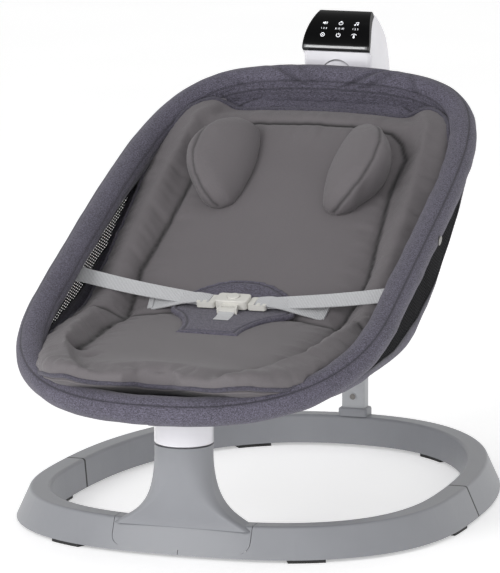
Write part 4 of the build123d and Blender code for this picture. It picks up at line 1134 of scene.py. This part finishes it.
def webbing(name, path, first, last, sizes):
    """A webbing strap along a path, its width turning from one direction to another."""
    path = even(np.array(path, float), 120)
    share = np.linspace(0, 1, len(path))[:, None] ** 0.35
    width = np.array(first, float) * (1 - share) + np.array(last, float) * share
    width /= np.linalg.norm(width, axis=1)[:, None]
    length = np.linalg.norm(np.diff(path, axis=0), axis=1).sum()

    def place(u, v):
        row = np.rint(v * (len(path) - 1)).astype(int)
        return path[row] + (u - 0.5)[:, None] * sizes.webbing_width * width[row]

    strap = grid(name, 8, len(path) - 1, place, (sizes.webbing_width, length))
    modified(strap, "SOLIDIFY", thickness=sizes.webbing_skin, offset=0)
    smooth(strap)
    dress(strap, "strap")
    return strap


class SWING_OT_straps(bpy.types.Operator):
    """Lay the waist and crotch webbing"""

    bl_idname = "swing.straps"
    bl_label = "Webbing"

    def execute(self, context):
        sizes = context.scene.swing_sizes
        for name, side in (("right", 1), ("left", -1)):
            mirrored = np.array((side, 1, 1))
            start, end = mirrored * STRAP_START, mirrored * STRAP_END
            steps = np.linspace(0, 1, 30)
            lay = [start + (end - start) * t - (0, 0, STRAP_SAG * math.sin(math.pi * t)) for t in steps]
            strap = webbing(f"waist_webbing_{name}", lay, AT_BUCKLE, (0, 0.6, 0.8), sizes)
            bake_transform(strap)
            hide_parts(f"waist_strap_{name}")
            lay = [(side * x, y, z) for x, y, z in TAIL]
            tail = webbing(f"webbing_tail_{name}", lay, AT_BUCKLE, (side * 0.1, 0.80, 0.60), sizes)
            ride(tail, f"tongue_{name}", "webbing")
        crotch = webbing("crotch_webbing", CROTCH_ROUTE, (1, 0, 0), (1, 0, 0), sizes)
        ride(crotch, "seat", "webbing", "crotch_strap")
        return {"FINISHED"}


# The sky's strength, from near the horizon up to the zenith
SKY = (("From Min", 0.15), ("From Max", 0.8), ("To Min", 1.04), ("To Max", 0.45))
# Soft lamps: place, width and power
LAMPS = (
    ("key_softbox", (-1.5, -3.6, 1.9), 1.6, 62),
    ("fill_softbox", (1.2, -3.6, 0.9), 1.6, 20),
    ("top_softbox", (0.2, 0.4, 3.2), 2.0, 3),
)
LAMP_TARGET = Vector((0, 0, 0.3))


class SWING_OT_stage(bpy.types.Operator):
    """Set the floor, the soft studio light and the camera"""

    bl_idname = "swing.stage"
    bl_label = "Stage"

    def execute(self, context):
        scene = context.scene
        bpy.ops.mesh.primitive_plane_add(size=16)
        floor = context.object
        floor.name = "studio_floor"
        pale = Finish("studio_pale")
        tone = pale.blend(pale.noise(3), (0.92, 0.92, 0.92), (0.95, 0.95, 0.95))
        pale.surface(base_color=tone, roughness=0.7, emission_color=tone, emission_strength=0.42)
        floor.data.materials.append(pale.material)
        world = bpy.data.worlds.new("studio_sky")
        world.use_nodes = True
        sky = world.node_tree
        direction = sky.nodes.new("ShaderNodeTexCoord")
        axes = sky.nodes.new("ShaderNodeSeparateXYZ")
        shade = sky.nodes.new("ShaderNodeMapRange")
        for key, value in SKY:
            shade.inputs[key].default_value = value
        sky.links.new(direction.outputs["Generated"], axes.inputs[0])
        sky.links.new(axes.outputs["Z"], shade.inputs["Value"])
        sky.links.new(shade.outputs[0], sky.nodes["Background"].inputs["Strength"])
        sky.nodes["Background"].inputs["Color"].default_value = (1, 1, 1, 1)
        scene.world = world
        for name, spot, size, power in LAMPS:
            lamp = bpy.data.lights.new(name, "AREA")
            lamp.shape = "DISK"
            lamp.size = size
            lamp.energy = power
            stand = placed(name, lamp)
            stand.location = spot
            stand.rotation_euler = (LAMP_TARGET - Vector(spot)).to_track_quat("-Z", "Y").to_euler()
        view = bpy.data.cameras.new("photo_view")
        view.lens = 301.4
        view.sensor_width = 36
        camera = placed("photo_view", view)
        camera.location = (1.918, -5.619, 1.328)
        camera.rotation_euler = (math.radians(80), 0, math.radians(18.98))
        scene.camera = camera
        scene.view_settings.view_transform = "Standard"
        return {"FINISHED"}


STEPS = (
    SWING_OT_finishes,
    SWING_OT_stage,
    SWING_OT_panel,
    SWING_OT_rim,
    SWING_OT_skirt,
    SWING_OT_sling,
    SWING_OT_pad,
    SWING_OT_wings,
    SWING_OT_crotch,
    SWING_OT_straps,
)


class SWING_PT_looks(bpy.types.Panel):
    """The swing's sizes, colours and making steps"""

    bl_label = "Baby Swing"
    bl_idname = "SWING_PT_looks"
    bl_space_type = "VIEW_3D"
    bl_region_type = "UI"
    bl_category = "Baby Swing"

    def draw(self, context):
        for group in (context.scene.swing_sizes, context.scene.swing_colours):
            for key in group.bl_rna.properties.keys():
                if key not in ("rna_type", "name"):
                    self.layout.prop(group, key)
        for step in STEPS:
            self.layout.operator(step.bl_idname)


CLASSES = (SwingSizes, SwingColours, *STEPS, SWING_PT_looks)


def register():
    for part in CLASSES:
        bpy.utils.register_class(part)
    bpy.types.Scene.swing_sizes = bpy.props.PointerProperty(type=SwingSizes)
    bpy.types.Scene.swing_colours = bpy.props.PointerProperty(type=SwingColours)


def unregister():
    del bpy.types.Scene.swing_colours
    del bpy.types.Scene.swing_sizes
    for part in reversed(CLASSES):
        bpy.utils.unregister_class(part)


def main():
    register()
    for step in STEPS:
        family, name = step.bl_idname.split(".")
        getattr(getattr(bpy.ops, family), name)()
    bpy.ops.object.select_all(action="DESELECT")


if __name__ == "__main__":
    main()
